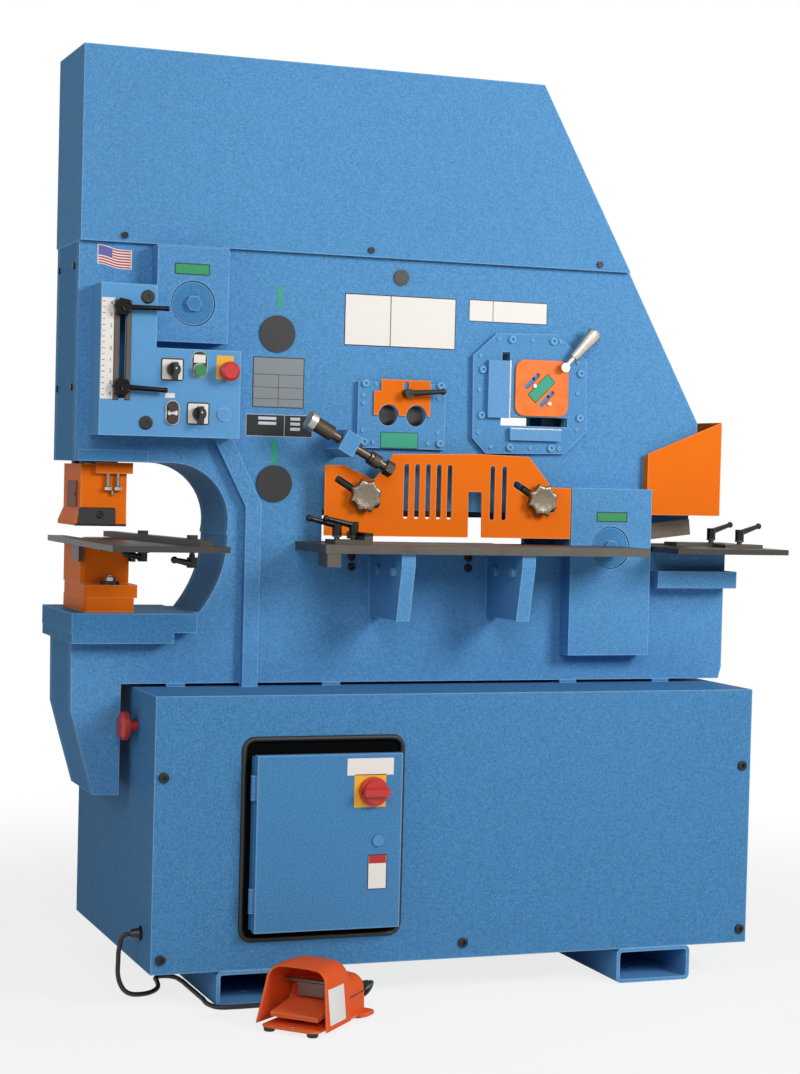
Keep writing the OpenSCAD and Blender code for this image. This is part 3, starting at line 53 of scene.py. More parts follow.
level = Vector((math.cos(yaw), -math.sin(yaw), 0))
upright = level.cross(forward)
camera = bpy.data.objects.new("camera", bpy.data.cameras.new("camera"))
camera.data.lens = 74.745
camera.data.sensor_width = 36
camera.data.clip_end = 100
camera.matrix_world = Matrix.Translation((-1.7841, -4.6672, 1.0904)) @ Matrix((
    level * math.cos(roll) - upright * math.sin(roll),
    level * math.sin(roll) + upright * math.cos(roll), -forward)).transposed().to_4x4()
bpy.context.collection.objects.link(camera)
bpy.context.scene.camera = camera
bpy.context.scene.view_settings.view_transform = "Standard"


class Amount:
    """A number that changes over a surface, so that a finish is written as a sum."""

    def __init__(self, finish, socket):
        self.finish, self.socket = finish, socket

    def worked(self, operation, *terms):
        return self.finish.node("Math", {"operation": operation}, dict(enumerate(terms)))

    def __add__(self, other):
        return self.worked("ADD", self, other)

    def __sub__(self, other):
        return self.worked("SUBTRACT", self, other)

    def __rsub__(self, other):
        return self.worked("SUBTRACT", other, self)

    def __mul__(self, other):
        return self.worked("MULTIPLY", self, other)

    def __gt__(self, other):
        return self.worked("GREATER_THAN", self, other)

    def __lt__(self, other):
        return self.worked("LESS_THAN", self, other)

    __radd__, __rmul__ = __add__, __mul__


def tint(code):
    """A colour written as in a paint chart, such as 5b97c7, as linear light."""
    parts = [int(code[i:i + 2], 16) / 255 for i in (0, 2, 4)]
    return (*(c / 12.92 if c < 0.04045 else ((c + 0.055) / 1.055) ** 2.4 for c in parts), 1)


def darker(code, share):
    return [c * share for c in tint(code)[:3]] + [1]


class Finish:
    """A material and its nodes."""

    def __init__(self, name):
        self.material = bpy.data.materials.new(name)
        self.material.use_nodes = True
        self.tree = self.material.node_tree
        self.shader = self.tree.nodes["Principled BSDF"]

    def put(self, socket, value):
        if isinstance(value, Amount):
            self.tree.links.new(value.socket, socket)
        else:
            socket.default_value = value

    def node(self, kind, settings=None, sockets=None, output=0):
        made = self.tree.nodes.new("ShaderNode" + kind)
        for key, value in (settings or {}).items():
            if key == "stops":
                ramp = made.color_ramp
                while len(ramp.elements) < len(value):
                    ramp.elements.new(0.5)
                for stop, (place, colour) in zip(ramp.elements, value):
                    stop.position, stop.color = place, colour
            else:
                setattr(made, key, value)
        for key, value in (sockets or {}).items():
            self.put(made.inputs[key], value)
        return Amount(self, made.outputs[output])

    def place(self, scale=(1, 1, 1)):
        where = self.node("TexCoord", output="Object")
        return self.node("Mapping", None, {"Vector": where, "Scale": scale})

    def noise(self, size, detail=2.0, rough=0.5, stretch=(1, 1, 1)):
        return self.node("TexNoise", None, {"Vector": self.place(stretch), "Scale": 1 / size,
                                            "Detail": detail, "Roughness": rough})

    def mix(self, share, a, b, way="MIX"):
        return self.node("Mix", {"data_type": "RGBA", "blend_type": way}, {0: share, 6: a, 7: b}, 2)

    def set(self, **values):
        for key, value in values.items():
            self.put(self.shader.inputs[key.replace("_", " ").title().replace("Ior", "IOR")], value)
        return self

    def relief(self, height, depth, strength=1.0):
        self.set(normal=self.node("Bump", None, {"Height": height, "Distance": depth,
                                                 "Strength": strength}))
        return self

    def edges(self, radius, low=0.03, high=0.25):
        """1 along outside edges, the mask where a paler colour is mixed in as a painted highlight, 0
        elsewhere.
        """
        bent = self.node("Bevel", {"samples": 4}, {"Radius": radius})
        true = self.node("NewGeometry", output="Normal")
        same = self.node("VectorMath", {"operation": "DOT_PRODUCT"}, {0: bent, 1: true}, "Value")
        return self.node("MapRange", None, {"Value": 1 - same, "From Min": low, "From Max": high})

    def axis(self, name):
        return self.node("SeparateXYZ", None, {0: self.node("TexCoord", output="Object")}, name)


pale_floor = Finish("pale_floor")
pale_floor.set(base_color=(0.8, 0.8, 0.8, 1), roughness=0.9, specular_ior_level=0.1)
path = pale_floor.node("LightPath", output="Is Camera Ray")
glossy = pale_floor.node("LightPath", output="Is Glossy Ray")
glow = pale_floor.node("Emission", None, {"Color": (1, 1, 1, 1), "Strength": 1.0})
from_middle = pale_floor.node("VectorMath", {"operation": "LENGTH"},
                              {0: pale_floor.node("TexCoord", output="Object")}, "Value")
far_off = pale_floor.node("MapRange", {"interpolation_type": "SMOOTHSTEP"},
                          {"Value": from_middle, "From Min": 0.9, "From Max": 2.8,
                           "To Min": 0.8, "To Max": 1.0})
blend = pale_floor.node("MixShader", None, {0: (path + glossy) * far_off})
pale_floor.tree.links.new(pale_floor.shader.outputs[0], blend.socket.node.inputs[1])
pale_floor.tree.links.new(glow.socket, blend.socket.node.inputs[2])
pale_floor.tree.links.new(blend.socket, pale_floor.tree.nodes["Material Output"].inputs["Surface"])

floor_mesh = bpy.data.meshes.new("floor")
half = 30
floor_mesh.from_pydata([(-half, -half, 0), (half, -half, 0), (half, half, 0), (-half, half, 0)], [],
                       [(0, 1, 2, 3)])
floor = bpy.data.objects.new("floor", floor_mesh)
floor_mesh.materials.append(pale_floor.material)
bpy.context.collection.objects.link(floor)

world = bpy.data.worlds.new("studio")
bpy.context.scene.world = world
world.use_nodes = True
sky = world.node_tree
rays = sky.nodes.new("ShaderNodeLightPath")
seen = sky.nodes.new("ShaderNodeMath")
seen.operation = "ADD"
sky.links.new(rays.outputs["Is Camera Ray"], seen.inputs[0])
sky.links.new(rays.outputs["Is Glossy Ray"], seen.inputs[1])
lit = sky.nodes.new("ShaderNodeMapRange")
lit.inputs["To Min"].default_value, lit.inputs["To Max"].default_value = 0.17, 1.0
sky.links.new(seen.outputs[0], lit.inputs["Value"])
sky.links.new(lit.outputs[0], sky.nodes["Background"].inputs["Strength"])
sky.nodes["Background"].inputs["Color"].default_value = (1, 1, 1, 1)

for name, spot, aim, width, power in (
        ("lamp_right", (2.1, -3.3, 2.6), (0.2, 0, 1.4), 1.5, 104),
        ("lamp_left", (-4.4, -2.2, 2.4), (-0.6, 0, 1.2), 1.8, 27),
        ("lamp_front", (-1.5, -4.8, 3.2), (-0.2, 0, 1.5), 2.0, 66)):
    lamp = bpy.data.objects.new(name, bpy.data.lights.new(name, "AREA"))
    lamp.data.size, lamp.data.energy = width, power
    facing = (Vector(aim) - Vector(spot)).to_track_quat("-Z", "Y")
    lamp.matrix_world = Matrix.Translation(spot) @ facing.to_matrix().to_4x4()
    bpy.context.collection.objects.link(lamp)

# ---- Cord of the foot switch: 10 mm round black rubber, from the gland low on the left
# side, under the cabinet and out along its front to the strain relief of the switch.
route = [(-699, -263, 144), (-711, -262.4, 141), (-718, -258, 118), (-719, -253, 84),
         (-717, -247, 56), (-709, -241, 34), (-697, -232, 19), (-681, -221, 10),
         (-662, -210, 6), (-641, -199, 5), (-623, -180, 5), (-609, -153, 5), (-597, -98, 5),
         (-591, -67, 5), (-575, -56, 5), (-555, -67, 5), (-547, -103, 5), (-546, -163, 5),
         (-546, -218, 5), (-546, -273, 5), (-546, -331, 5), (-534, -354, 5), (-502, -360, 5),
         (-464, -359.5, 5), (-426, -358, 5), (-391, -357.6, 5), (-356, -358, 5), (-306, -369, 9),
         (-278, -388, 13.8),
         (-255.6, -408.6, 22), (-241.5, -417.5, 32), (-234.8, -422.1, 44), (-236.2, -434.6, 54.8),
         (-243.5, -449.4, 60), (-253.8, -458.9, 60)]
line = bpy.data.curves.new("foot_cord", "CURVE")
line.dimensions = "3D"
cord_size = 0.010
line.bevel_depth, line.bevel_resolution = cord_size / 2, 3
line.use_fill_caps = True
line.resolution_u = 6
spline = line.splines.new("BEZIER")
spline.bezier_points.add(len(route) - 1)
for knot, point in zip(spline.bezier_points, route):
    knot.co = Vector(point) / 1000
    knot.handle_left_type = knot.handle_right_type = "AUTO"
foot_cord = bpy.data.objects.new("foot_cord", line)
bpy.context.collection.objects.link(foot_cord)

rubber = Finish("cord_rubber")
rubber.set(base_color=tint("1a1b1d"), roughness=0.52 + 0.12 * rubber.noise(0.01))
line.materials.append(rubber.material)
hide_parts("cord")
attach(foot_cord, "base")

# ---- Blue machine paint: a thick textured coat, baked on, that dries into small pits and beads, so it looks speckled near by and nearly matt from further off. A paler blue mixed in along the edges is a painted highlight.
def machine_paint(name, code, grain=0.0034, depth=0.0004, fleck=0.26):
    paint = Finish(name)
    mist = paint.noise(0.35, 3)
    peel = paint.noise(grain, 3, 0.6)
    bead = paint.noise(grain * 0.45, 2, 0.5)
    colour = paint.mix(mist, tint(code), darker(code, 0.93))
    pits = paint.node("MapRange", None, {"Value": peel * 0.6 + bead * 0.4,
                                         "From Min": 0.36, "From Max": 0.64,
                                         "To Min": 1 - fleck, "To Max": 1 + fleck})
    coat = paint.node("VectorMath", {"operation": "SCALE"}, {0: colour, "Scale": pits})
    # Pale blue a9cfed along the edges is a painted highlight.
    paint.coat = paint.mix(paint.edges(0.0045, 0.02, 0.2) * 0.62, coat, tint("a9cfed"))
    paint.set(base_color=paint.coat, roughness=0.56 - 0.16 * bead, specular_ior_level=0.008)
    return paint.relief(peel * 0.7 + bead * 0.5, depth)


blue_paint = machine_paint("blue_paint", "5c97ca")
shaded_paint = machine_paint("shaded_paint", "4a86b8")

finishes = {"machine_blue": blue_paint, "deep_blue": shaded_paint}

# ---- Orange guards: smooth gloss coat over bent sheet, with a paler orange mixed in along the edges as a painted highlight.
def guard_paint(name, code):
    paint = Finish(name)
    ripple = paint.noise(0.018, 2)
    coat = paint.mix(paint.noise(0.2), tint(code), darker(code, 0.9))
    # Pale orange ffb987 along the edges is a painted highlight.
    paint.set(base_color=paint.mix(paint.edges(0.004, 0.02, 0.16) * 0.6, coat, tint("ffb987")),
              roughness=0.3 + 0.1 * ripple, specular_ior_level=0.012)
    return paint.relief(ripple, 0.0006)


for name, code in (("guard_orange", "f4761c"), ("pedal_orange", "f87444")):
    finishes[name] = guard_paint(name, code)

# ---- Bare steels: rolled tables, ground blades and blackened fittings.
def steel(name, code, rough, metallic, streak=(1, 1, 1), depth=0.00005, mark="000000", share=0.3):
    """Steel with fine drag lines along streak, and stains of the colour mark."""
    metal = Finish(name)
    drag = metal.noise(0.004, 4, 0.6, streak)
    cloud = metal.noise(0.09, 5, 0.65)
    metal.set(base_color=metal.mix((cloud * 1.6 - 0.45) * share, tint(code), tint(mark)),
              metallic=metallic, roughness=rough + 0.22 * drag - 0.08)
    return metal.relief(drag, depth)


finishes["raw_steel"] = steel("rolled_steel", "5a5650", 0.42, 0.55, (1, 1, 0.2), 0.00008, "2c241d", 0.6)
finishes["ground_steel"] = steel("ground_steel", "a5a6a4", 0.34, 0.85, (0.15, 1, 1))
for name, code, rough, metallic in (("dark_steel", "2b2a29", 0.36, 0.6),
                                    ("black_metal", "121214", 0.4, 0.2),
                                    ("grey_metal", "565b5f", 0.5, 0.3)):
    finishes[name] = steel(name, code, rough, metallic)

# ---- Moulded plastics: knobs, buttons and switches.
def plastic(name, code, rough=0.35, coat=0.0):
    moulded = Finish(name)
    grain = moulded.noise(0.0012, 1)
    moulded.set(base_color=moulded.mix(grain * 0.25, tint(code), darker(code, 0.8)),
                roughness=rough + 0.1 * grain, coat_weight=coat)
    return moulded.relief(grain, 0.00004)


for name, code, rough, coat in (
        ("black_plastic", "0c0c0d", 0.3, 0.0), ("red_plastic", "c42a22", 0.28, 0.2),
        ("green_plastic", "1f7f45", 0.28, 0.2), ("white_plastic", "d9d9d4", 0.32, 0.0)):
    finishes[name] = plastic(name, code, rough, coat)
finishes["cord_rubber"] = rubber

for row in frame["record"]["subparts"]:
    solid = frame["nodes"][row["node"]]
    for place in solid.material_slots:
        place.material = finishes[row["material_slot"]].material


def wear(node, finish):
    """Gives a CAD node a finish of its own."""
    for place in frame["nodes"][node].material_slots:
        place.material = finish.material


# ---- Parts in two finishes: cap screws in blue or black, blade blocks painted up to their ground edges, clamp levers of black plastic on steel, and a turned steel handle. The blades in the bar shear's bores are painted near-black as painted shade.
def two_finishes(name, inner, outer, share, rough=(0.5, 0.4), metallic=(0, 0), grain=0.003,
                 depth=0.0002, bore_painted_shade=None):
    """The part takes inner where share is 1, outer where it is 0, and is painted near-black where the bore
    mask is 1, a painted shade.
    """
    both = Finish(name)
    grit = both.noise(grain, 3, 0.6)
    where = share(both)
    speckle = both.node("MapRange", None, {"Value": grit, "From Min": 0.3, "From Max": 0.7,
                                           "To Min": 0.86, "To Max": 1.14})
    colour = both.mix(where, tint(outer), tint(inner))
    if bore_painted_shade:
        colour = both.mix(bore_painted_shade(both), colour, tint("0d0b0a"))
    both.set(base_color=both.node("VectorMath", {"operation": "SCALE"}, {0: colour, "Scale": speckle}),
             roughness=where * (rough[0] - rough[1]) + rough[1],
             metallic=where * (metallic[0] - metallic[1]) + metallic[1], specular_ior_level=0.3)
    wear(name, both.relief(grit, depth))


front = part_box("front_plate")[0].y
table_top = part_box("shear_table")[1].z
slope_x, slope_z = 0.405, 1.53
two_finishes("cover_screws", "5c97ca", "121214",
             lambda f: (f.axis("X") > slope_x) * (f.axis("Z") < slope_z))
# Mask of the bar shear's bores, where the blades are painted near-black: painted shade in the holes.
bar_bores = lambda f: ((f.axis("Z") > 1.19) * (f.axis("Z") < 1.243) * (f.axis("X") > -0.16) *
                       (f.axis("X") < -0.04) * (f.axis("Y") > front + 0.002))
block_fronts = lambda f: ((f.axis("Y") < front + 0.0005) *
                          (1 - (f.axis("X") > 0.1455) * (f.axis("Z") > 1.1955)))
whole_part = lambda f: f.axis("Z") > 0
two_finishes("fixed_blades", "5c97ca", "a9a59c", block_fronts, (0.5, 0.35), (0, 0.85),
             bore_painted_shade=bar_bores)
two_finishes("moving_blades", "6e6459", "6e6459", whole_part, (0.38, 0.38), (0.7, 0.7),
             bore_painted_shade=bar_bores)
two_finishes("door_latch", "4f8dbe", "4f8dbe", whole_part)
wear("jog_up", plastic("jog_dark", "2a1714", 0.3))
wear("jog_down", plastic("jog_dark_low", "2a1714", 0.3))
guard_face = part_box("bar_guard")[0].y
two_finishes("angle_guard", "c9c2b6", "f4761c", lambda f: f.axis("Y") < guard_face - 0.0006,
             (0.24, 0.34), (0.95, 0), 0.02, 0.0003)
wear("bar_lever", plastic("bar_lever", "0a0a0b", 0.26))
wear("toe_latch", steel("toe_latch", "7d6e68", 0.4, 0.5, (1, 0.2, 1), 0.00008, "4c3f3a", 0.6))
table_lever = lambda f: f.axis("Z") > table_top + 0.017
for gauge in ("table_gauge", "notcher_gauge"):
    two_finishes(gauge, "0b0b0c", "504b45", table_lever, (0.28, 0.45), (0, 0.5))
punch_table_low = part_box("punch_table")[1].z - 0.0165
two_finishes("punch_fence", "0b0b0c", "3c3936", lambda f: f.axis("Z") < punch_table_low,
             (0.28, 0.42), (0, 0.5))
for table, code in (("punch_table", "3f3c39"), ("notcher_table", "3b3733")):
    wear(table, steel(table, code, 0.42, 0.5, (1, 1, 0.2), 0.00008, "231c17", 0.6))
knob_metal = steel("knob_metal", "7f7567", 0.26, 0.85, (1, 1, 1), 0.0001, "4b4036", 0.5)
wear("guard_knob_left", knob_metal)
wear("guard_knob_right", knob_metal)
wear("hold_down_screw", steel("hold_down_screw", "5a5148", 0.3, 0.85, (1, 1, 1), 0.0001, "2a241e", 0.5))
wear("control_box", machine_paint("panel_paint", "66a3d6", 0.0016, 0.00006, 0.06))
# Cabinet and door take a darker blue than the frame: painted shade for the lower part of the machine, which
# gets less light.
cabinet_shaded_paint = machine_paint("cabinet_shaded_paint", "4f88b8")
wear("cabinet", cabinet_shaded_paint)
wear("cabinet_door", cabinet_shaded_paint)

# ---- Electrical box: the steel box stands in a larger cut-out of the cabinet; where it lies behind the cabinet's front it is painted near-black as painted shadow, and a black rubber edging is pressed over the cut-out's rim.
def ring(w, h, r, steps=8):
    """Points round a rectangle with round corners, seen from the front."""
    points = []
    for cx, cz, start in ((w / 2 - r, h / 2 - r, 0), (r - w / 2, h / 2 - r, 90),
                          (r - w / 2, r - h / 2, 180), (w / 2 - r, r - h / 2, 270)):
        for step in range(steps + 1):
            turn = math.radians(start + 90 * step / steps)
            points.append((cx + r * math.cos(turn), cz + r * math.sin(turn)))
    return points


def closed_mesh(name, verts, faces):
    """A mesh whose faces all look outward."""
    mesh = bpy.data.meshes.new(name)
    mesh.from_pydata(verts, [], faces)
    form = bmesh.new()
    form.from_mesh(mesh)
    bmesh.ops.recalc_face_normals(form, faces=form.faces)
    form.to_mesh(mesh)
    form.free()
    return mesh


def piece(name, mesh, finish, body="base", smooth=False):
    """Puts a finished mesh on the machine, on the body that carries it."""
    made = bpy.data.objects.new(name, mesh)
    bpy.context.collection.objects.link(made)
    for one in (finish if isinstance(finish, (list, tuple)) else [finish]):
        mesh.materials.append(one.material)
    if smooth:
        mesh.shade_smooth()
    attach(made, body)
    return made


def edging(name, path, radius, finish, sides=10):
    """A round strip pressed over a rim in the cabinet's front, closed on itself."""
    path = [Vector(p) for p in path]
    count = len(path)
    verts, faces = [], []
    for i, spot in enumerate(path):
        along = (path[(i + 1) % count] - path[(i - 1) % count]).normalized()
        out = Vector((0, -1, 0))
        side = along.cross(out).normalized()
        out = side.cross(along).normalized()
        for k in range(sides):
            turn = 2 * math.pi * k / sides
            verts.append(spot + radius * (math.cos(turn) * side + math.sin(turn) * out))
            m, j = (k + 1) % sides, (i + 1) % count
            faces.append((i * sides + k, i * sides + m, j * sides + m, j * sides + k))
    return piece(name, closed_mesh(name, verts, faces), finish, smooth=True)


edge_rubber = Finish("edge_rubber")
edge_rubber.set(base_color=tint("141210"), roughness=0.4 + 0.2 * edge_rubber.noise(0.004))
edge_rubber.relief(edge_rubber.noise(0.0015), 0.0001)
cab_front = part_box("cabinet")[0].y
rim_x, rim_z = -0.318, 0.341
rim_w, rim_h, rim_corner = 0.342, 0.409, 0.022
edging("door_edging", [(rim_x + x, cab_front, rim_z + z) for x, z in ring(rim_w, rim_h, rim_corner)],
       0.0055, edge_rubber)

box_paint = machine_paint("box_paint", "4a86b8", 0.002, 0.0001)
# Behind the cabinet's front the box is painted near-black: painted shadow in the cut-out.
cutout_shadow = box_paint.axis("Y") > cab_front - 0.0005
box_paint.set(base_color=box_paint.mix(cutout_shadow, tint("3f7aae"), tint("0c0d0e")), roughness=0.5)
wear("electrical_box", box_paint)

# ---- Plates and stickers: thin printed sheet stuck on the paint. Every one is left blank.
def label(name, x, z, w, h, face, fill, edge=None, border=0.0012, corner=0.002, turn=0, body="base",
          lift=0.0006):
    """A plate of w by h about x, z, with a border of another colour where edge is given."""
    turn = math.radians(turn)
    verts, loops = [], []
    for inset, depth in ((0, 0), (0, lift * 0.7), (lift * 0.3, lift), (border, lift)):
        loops.append(len(verts))
        for px, pz in ring(w - 2 * inset, h - 2 * inset, max(corner - inset, 0.0002), 4):
            verts.append((x + px * math.cos(turn) - pz * math.sin(turn), face - depth,
                          z + px * math.sin(turn) + pz * math.cos(turn)))
    count = len(verts) - loops[-1]
    faces = []
    for a, b in zip(loops, loops[1:]):
        for k in range(count):
            m = (k + 1) % count
            faces.append((a + k, b + k, b + m, a + m))
    faces.append(tuple(loops[-1] + k for k in range(count)))
    faces.append(tuple(loops[0] + k for k in range(count - 1, -1, -1)))
    mesh = closed_mesh(name, verts, faces)
    made = piece(name, mesh, [fill, edge or fill], body)
    for face_of in mesh.polygons:
        face_of.material_index = 0 if face_of.index == len(faces) - 2 else 1
    return made


def sheet_print(name, code, rough=0.42, metallic=0.0):
    printed = Finish(name)
    scuff = printed.noise(0.02, 4, 0.6)
    printed.set(base_color=printed.mix(scuff * 0.25, tint(code), darker(code, 0.85)),
                roughness=rough + 0.15 * scuff, metallic=metallic)
    return printed


white_sheet = sheet_print("white_sheet", "ece6e0")
black_sheet = sheet_print("black_sheet", "15181a")
green_sheet = sheet_print("green_sheet", "149a78")
deep_green_sheet = sheet_print("deep_green_sheet", "0f8a4e")
yellow_sheet = sheet_print("yellow_sheet", "f5b52a")
grey_plate = sheet_print("grey_plate", "6f7577", 0.35, 0.55)
dark_plate = sheet_print("dark_plate", "1d1f20", 0.3, 0.5)
bright_plate = sheet_print("bright_plate", "a8adb0", 0.3, 0.8)
red_sheet = sheet_print("red_sheet", "b3232a")
violet_sheet = sheet_print("violet_sheet", "5f56a3")

block_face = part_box("pivot_blocks")[0].y
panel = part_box("control_box")[0].y + 0.003
shear_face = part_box("bar_shear_plate")[0].y
door_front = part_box("cabinet_door")[0].y
line_face = front - 0.0004
label("wide_plate", -0.104, 1.4185, 0.256, 0.111, front, white_sheet, black_sheet, 0.0022)
label("wide_plate_line", -0.127, 1.4185, 0.0018, 0.107, line_face, black_sheet, None, 0.0004, 0.0004)
label("narrow_plate", 0.1475, 1.451, 0.187, 0.048, front, white_sheet, black_sheet, 0.0018)
label("narrow_plate_line", 0.111, 1.451, 0.0014, 0.045, line_face, black_sheet, None, 0.0004, 0.0004)
label("data_plate", -0.376, 1.2775, 0.114, 0.107, front, grey_plate, black_sheet, 0.0022)
for row, z in enumerate((1.294, 1.267, 1.243)):
    label(f"data_plate_row_{row}", -0.376, z, 0.108, 0.0010, line_face, black_sheet, None, 0.0003,
          0.0003)
label("data_plate_column", -0.376, 1.261, 0.0010, 0.066, line_face, black_sheet, None, 0.0003, 0.0003)
label("serial_plate", -0.372, 1.1865, 0.148, 0.047, front, dark_plate, bright_plate, 0.0012)
for mark, (x, z, w) in enumerate(((-0.399, 1.2015, 0.040), (-0.399, 1.191, 0.040),
                                  (-0.337, 1.2015, 0.022), (-0.337, 1.191, 0.022),
                                  (-0.337, 1.180, 0.022))):
    label(f"serial_plate_field_{mark}", x, z, w, 0.0065, front - 0.0005, bright_plate, None, 0.0005,
          0.0006)
label("serial_plate_line", -0.361, 1.1865, 0.0012, 0.045, line_face, bright_plate, None, 0.0004,
      0.0004)
label("oil_plate_left", -0.5815, 1.5015, 0.075, 0.0235, block_face, deep_green_sheet, black_sheet,
      0.0024, 0.0012)
label("oil_plate_right", 0.3895, 1.007, 0.075, 0.0225, block_face, deep_green_sheet, black_sheet,
      0.0024, 0.0012)
label("bar_plate_tag", -0.105, 1.163, 0.087, 0.035, shear_face, green_sheet, black_sheet, 0.0016,
      0.0012)
label("angle_guard_tag", 0.2245, 1.2865, 0.067, 0.027, guard_face, green_sheet, black_sheet, 0.0016,
      0.001, turn=45, body="angle_guard")
label("door_tag", -0.2295, 0.4895, 0.101, 0.035, door_front, white_sheet, None, 0.001, 0.0008, body="door")
label("switch_plate", -0.2295, 0.440, 0.069, 0.068, door_front, yellow_sheet, None, 0.001, 0.0015,
      body="door")
label("door_sticker", -0.210, 0.272, 0.042, 0.072, door_front, white_sheet, black_sheet, 0.0018,
      0.0025, body="door")
label("door_sticker_band", -0.210, 0.298, 0.0372, 0.0165, door_front - 0.0004, red_sheet, None,
      0.0005, 0.0006, body="door")


def arrow(name, x, top, bottom, face, width, finish):
    """A plain arrow that points down."""
    neck, head = width * 0.29, (top - bottom) * 0.3
    points = [(x - neck, top), (x + neck, top), (x + neck, bottom + head),
              (x + width / 2, bottom + head), (x, bottom), (x - width / 2, bottom + head),
              (x - neck, bottom + head)]
    verts = [(px, face, pz) for px, pz in points] + [(px, face - 0.0005, pz) for px, pz in points]
    count = len(points)
    faces = [tuple(range(count)), tuple(range(2 * count - 1, count - 1, -1))]
    faces += [(k, k + count, (k + 1) % count + count, (k + 1) % count) for k in range(count)]
    return piece(name, closed_mesh(name, verts, faces), finish)


arrow("stroke_arrow_upper", -0.377, 1.480, 1.432, front, 0.020, green_sheet)
arrow("stroke_arrow_lower", -0.382, 1.155, 1.102, front, 0.020, green_sheet)

# ---- Flag sticker: a small printed flag with stripes and a plain canton, waving a little.
flag_x, flag_z, flag_w, flag_h = -0.768, 1.5075, 0.068, 0.036


def flag_strip(name, u0, u1, v0, v1, finish, lift):
    """Part of the flag between two fractions of its length and height."""
    verts, faces = [], []
    steps = 12
    for i in range(steps + 1):
        u = u0 + (u1 - u0) * i / steps
        for v in (v0, v1):
            wave = 0.0016 * math.sin(u * 7.0 + 0.6) - 0.010 * u
            verts.append((flag_x + flag_w * u, front - lift, flag_z + flag_h * v + wave))
        if i:
            k = 2 * i
            faces.append((k - 2, k, k + 1, k - 1))
    mesh = bpy.data.meshes.new(name)
    mesh.from_pydata(verts, [], faces)
    made = piece(name, mesh, finish)
    thick = made.modifiers.new("sheet", "SOLIDIFY")
    thick.thickness = 0.0003
    thick.offset = 1
    return made


flag_strip("flag_backing", -0.03, 1.03, -0.05, 1.05, white_sheet, 0.0004)
for stripe in range(7):
    flag_strip(f"flag_stripe_{stripe}", 0.0, 1.0, 1 - (stripe * 2 + 1) / 13, 1 - stripe * 2 / 13,
               red_sheet, 0.0006)
flag_strip("flag_canton", 0.0, 0.42, 0.46, 1.0, violet_sheet, 0.0008)

# ---- Black screws of the cabinet's front panel: button heads with a socket, one near each
# corner and one at the middle of the lower edge.
def screw_tree():
    """A screw head on every point: a cylinder with a chamfered rim and a sunk socket."""
    tree = bpy.data.node_groups.new("socket_screw", "GeometryNodeTree")
    sides = tree.interface
    sides.new_socket("Places", in_out="INPUT", socket_type="NodeSocketGeometry")
    for measure, size in (("Radius", 0.01), ("Height", 0.004), ("Edge", 0.0012), ("Socket", 0.5)):
        sides.new_socket(measure, in_out="INPUT", socket_type="NodeSocketFloat").default_value = size
    sides.new_socket("Turn", in_out="INPUT", socket_type="NodeSocketVector")
    sides.new_socket("Finish", in_out="INPUT", socket_type="NodeSocketMaterial")
    sides.new_socket("Screws", in_out="OUTPUT", socket_type="NodeSocketGeometry")
    entry = tree.nodes.new("NodeGroupInput")

    def add(kind, links, **settings):
        made = tree.nodes.new(kind)
        for key, value in settings.items():
            setattr(made, key, value)
        for key, value in links.items():
            if isinstance(value, bpy.types.NodeSocket):
                tree.links.new(value, made.inputs[key])
            else:
                made.inputs[key].default_value = value
        return made

    def raised(mesh, top, height):
        return add("GeometryNodeExtrudeMesh", {"Mesh": mesh, "Selection": top,
                                               "Offset Scale": height, "Individual": False})

    def narrowed(mesh, top, share):
        return add("GeometryNodeScaleElements", {"Geometry": mesh, "Selection": top, "Scale": share})

    head = add("GeometryNodeMeshCylinder", {"Vertices": 20, "Radius": entry.outputs["Radius"],
                                            "Depth": entry.outputs["Height"]})
    inset = raised(head.outputs["Mesh"], head.outputs["Top"], entry.outputs["Edge"])
    rim = narrowed(inset.outputs["Mesh"], inset.outputs["Top"], 0.82)
    flat = raised(rim.outputs["Geometry"], inset.outputs["Top"], 0.0)
    mouth = narrowed(flat.outputs["Mesh"], flat.outputs["Top"], entry.outputs["Socket"])
    drop = add("ShaderNodeMath", {0: entry.outputs["Height"], 1: -0.8}, operation="MULTIPLY")
    well = raised(mouth.outputs["Geometry"], flat.outputs["Top"], drop.outputs[0])
    facing = add("FunctionNodeEulerToRotation", {0: entry.outputs["Turn"]})
    spread = add("GeometryNodeInstanceOnPoints", {"Points": entry.outputs["Places"],
                                                  "Instance": well.outputs["Mesh"],
                                                  "Rotation": facing.outputs[0]})
    whole = add("GeometryNodeRealizeInstances", {"Geometry": spread.outputs[0]})
    coated = add("GeometryNodeSetMaterial", {"Geometry": whole.outputs[0],
                                             "Material": entry.outputs["Finish"]})
    add("NodeGroupOutput", {"Screws": coated.outputs[0]})
    return tree


screw_maker = screw_tree()


def screws(name, places, finish, radius, height, socket=0.5, turn=(90, 0, 0)):
    """One piece with a screw head at each place, facing the front unless turned."""
    seats = bpy.data.meshes.new(name)
    seats.from_pydata([tuple(p) for p in places], [], [])
    holder = bpy.data.objects.new(name, seats)
    bpy.context.collection.objects.link(holder)
    maker = holder.modifiers.new("screws", "NODES")
    maker.node_group = screw_maker
    wanted = {"Radius": radius, "Height": height, "Edge": 0.0012, "Socket": socket,
              "Finish": finish.material, "Turn": tuple(math.radians(a) for a in turn)}
    for socket_item in screw_maker.interface.items_tree:
        if socket_item.in_out == "INPUT" and socket_item.name in wanted:
            maker[socket_item.identifier] = wanted[socket_item.name]
    made = bpy.data.meshes.new_from_object(holder.evaluated_get(bpy.context.evaluated_depsgraph_get()))
    holder.modifiers.remove(maker)
    holder.data = made
    made.name = name
    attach(holder, "base")
    return holder


def on_face(face, *spots):
    """Places on an upright face, from their distances in millimetres."""
    return [(x / 1000, face, z / 1000) for x, z in spots]


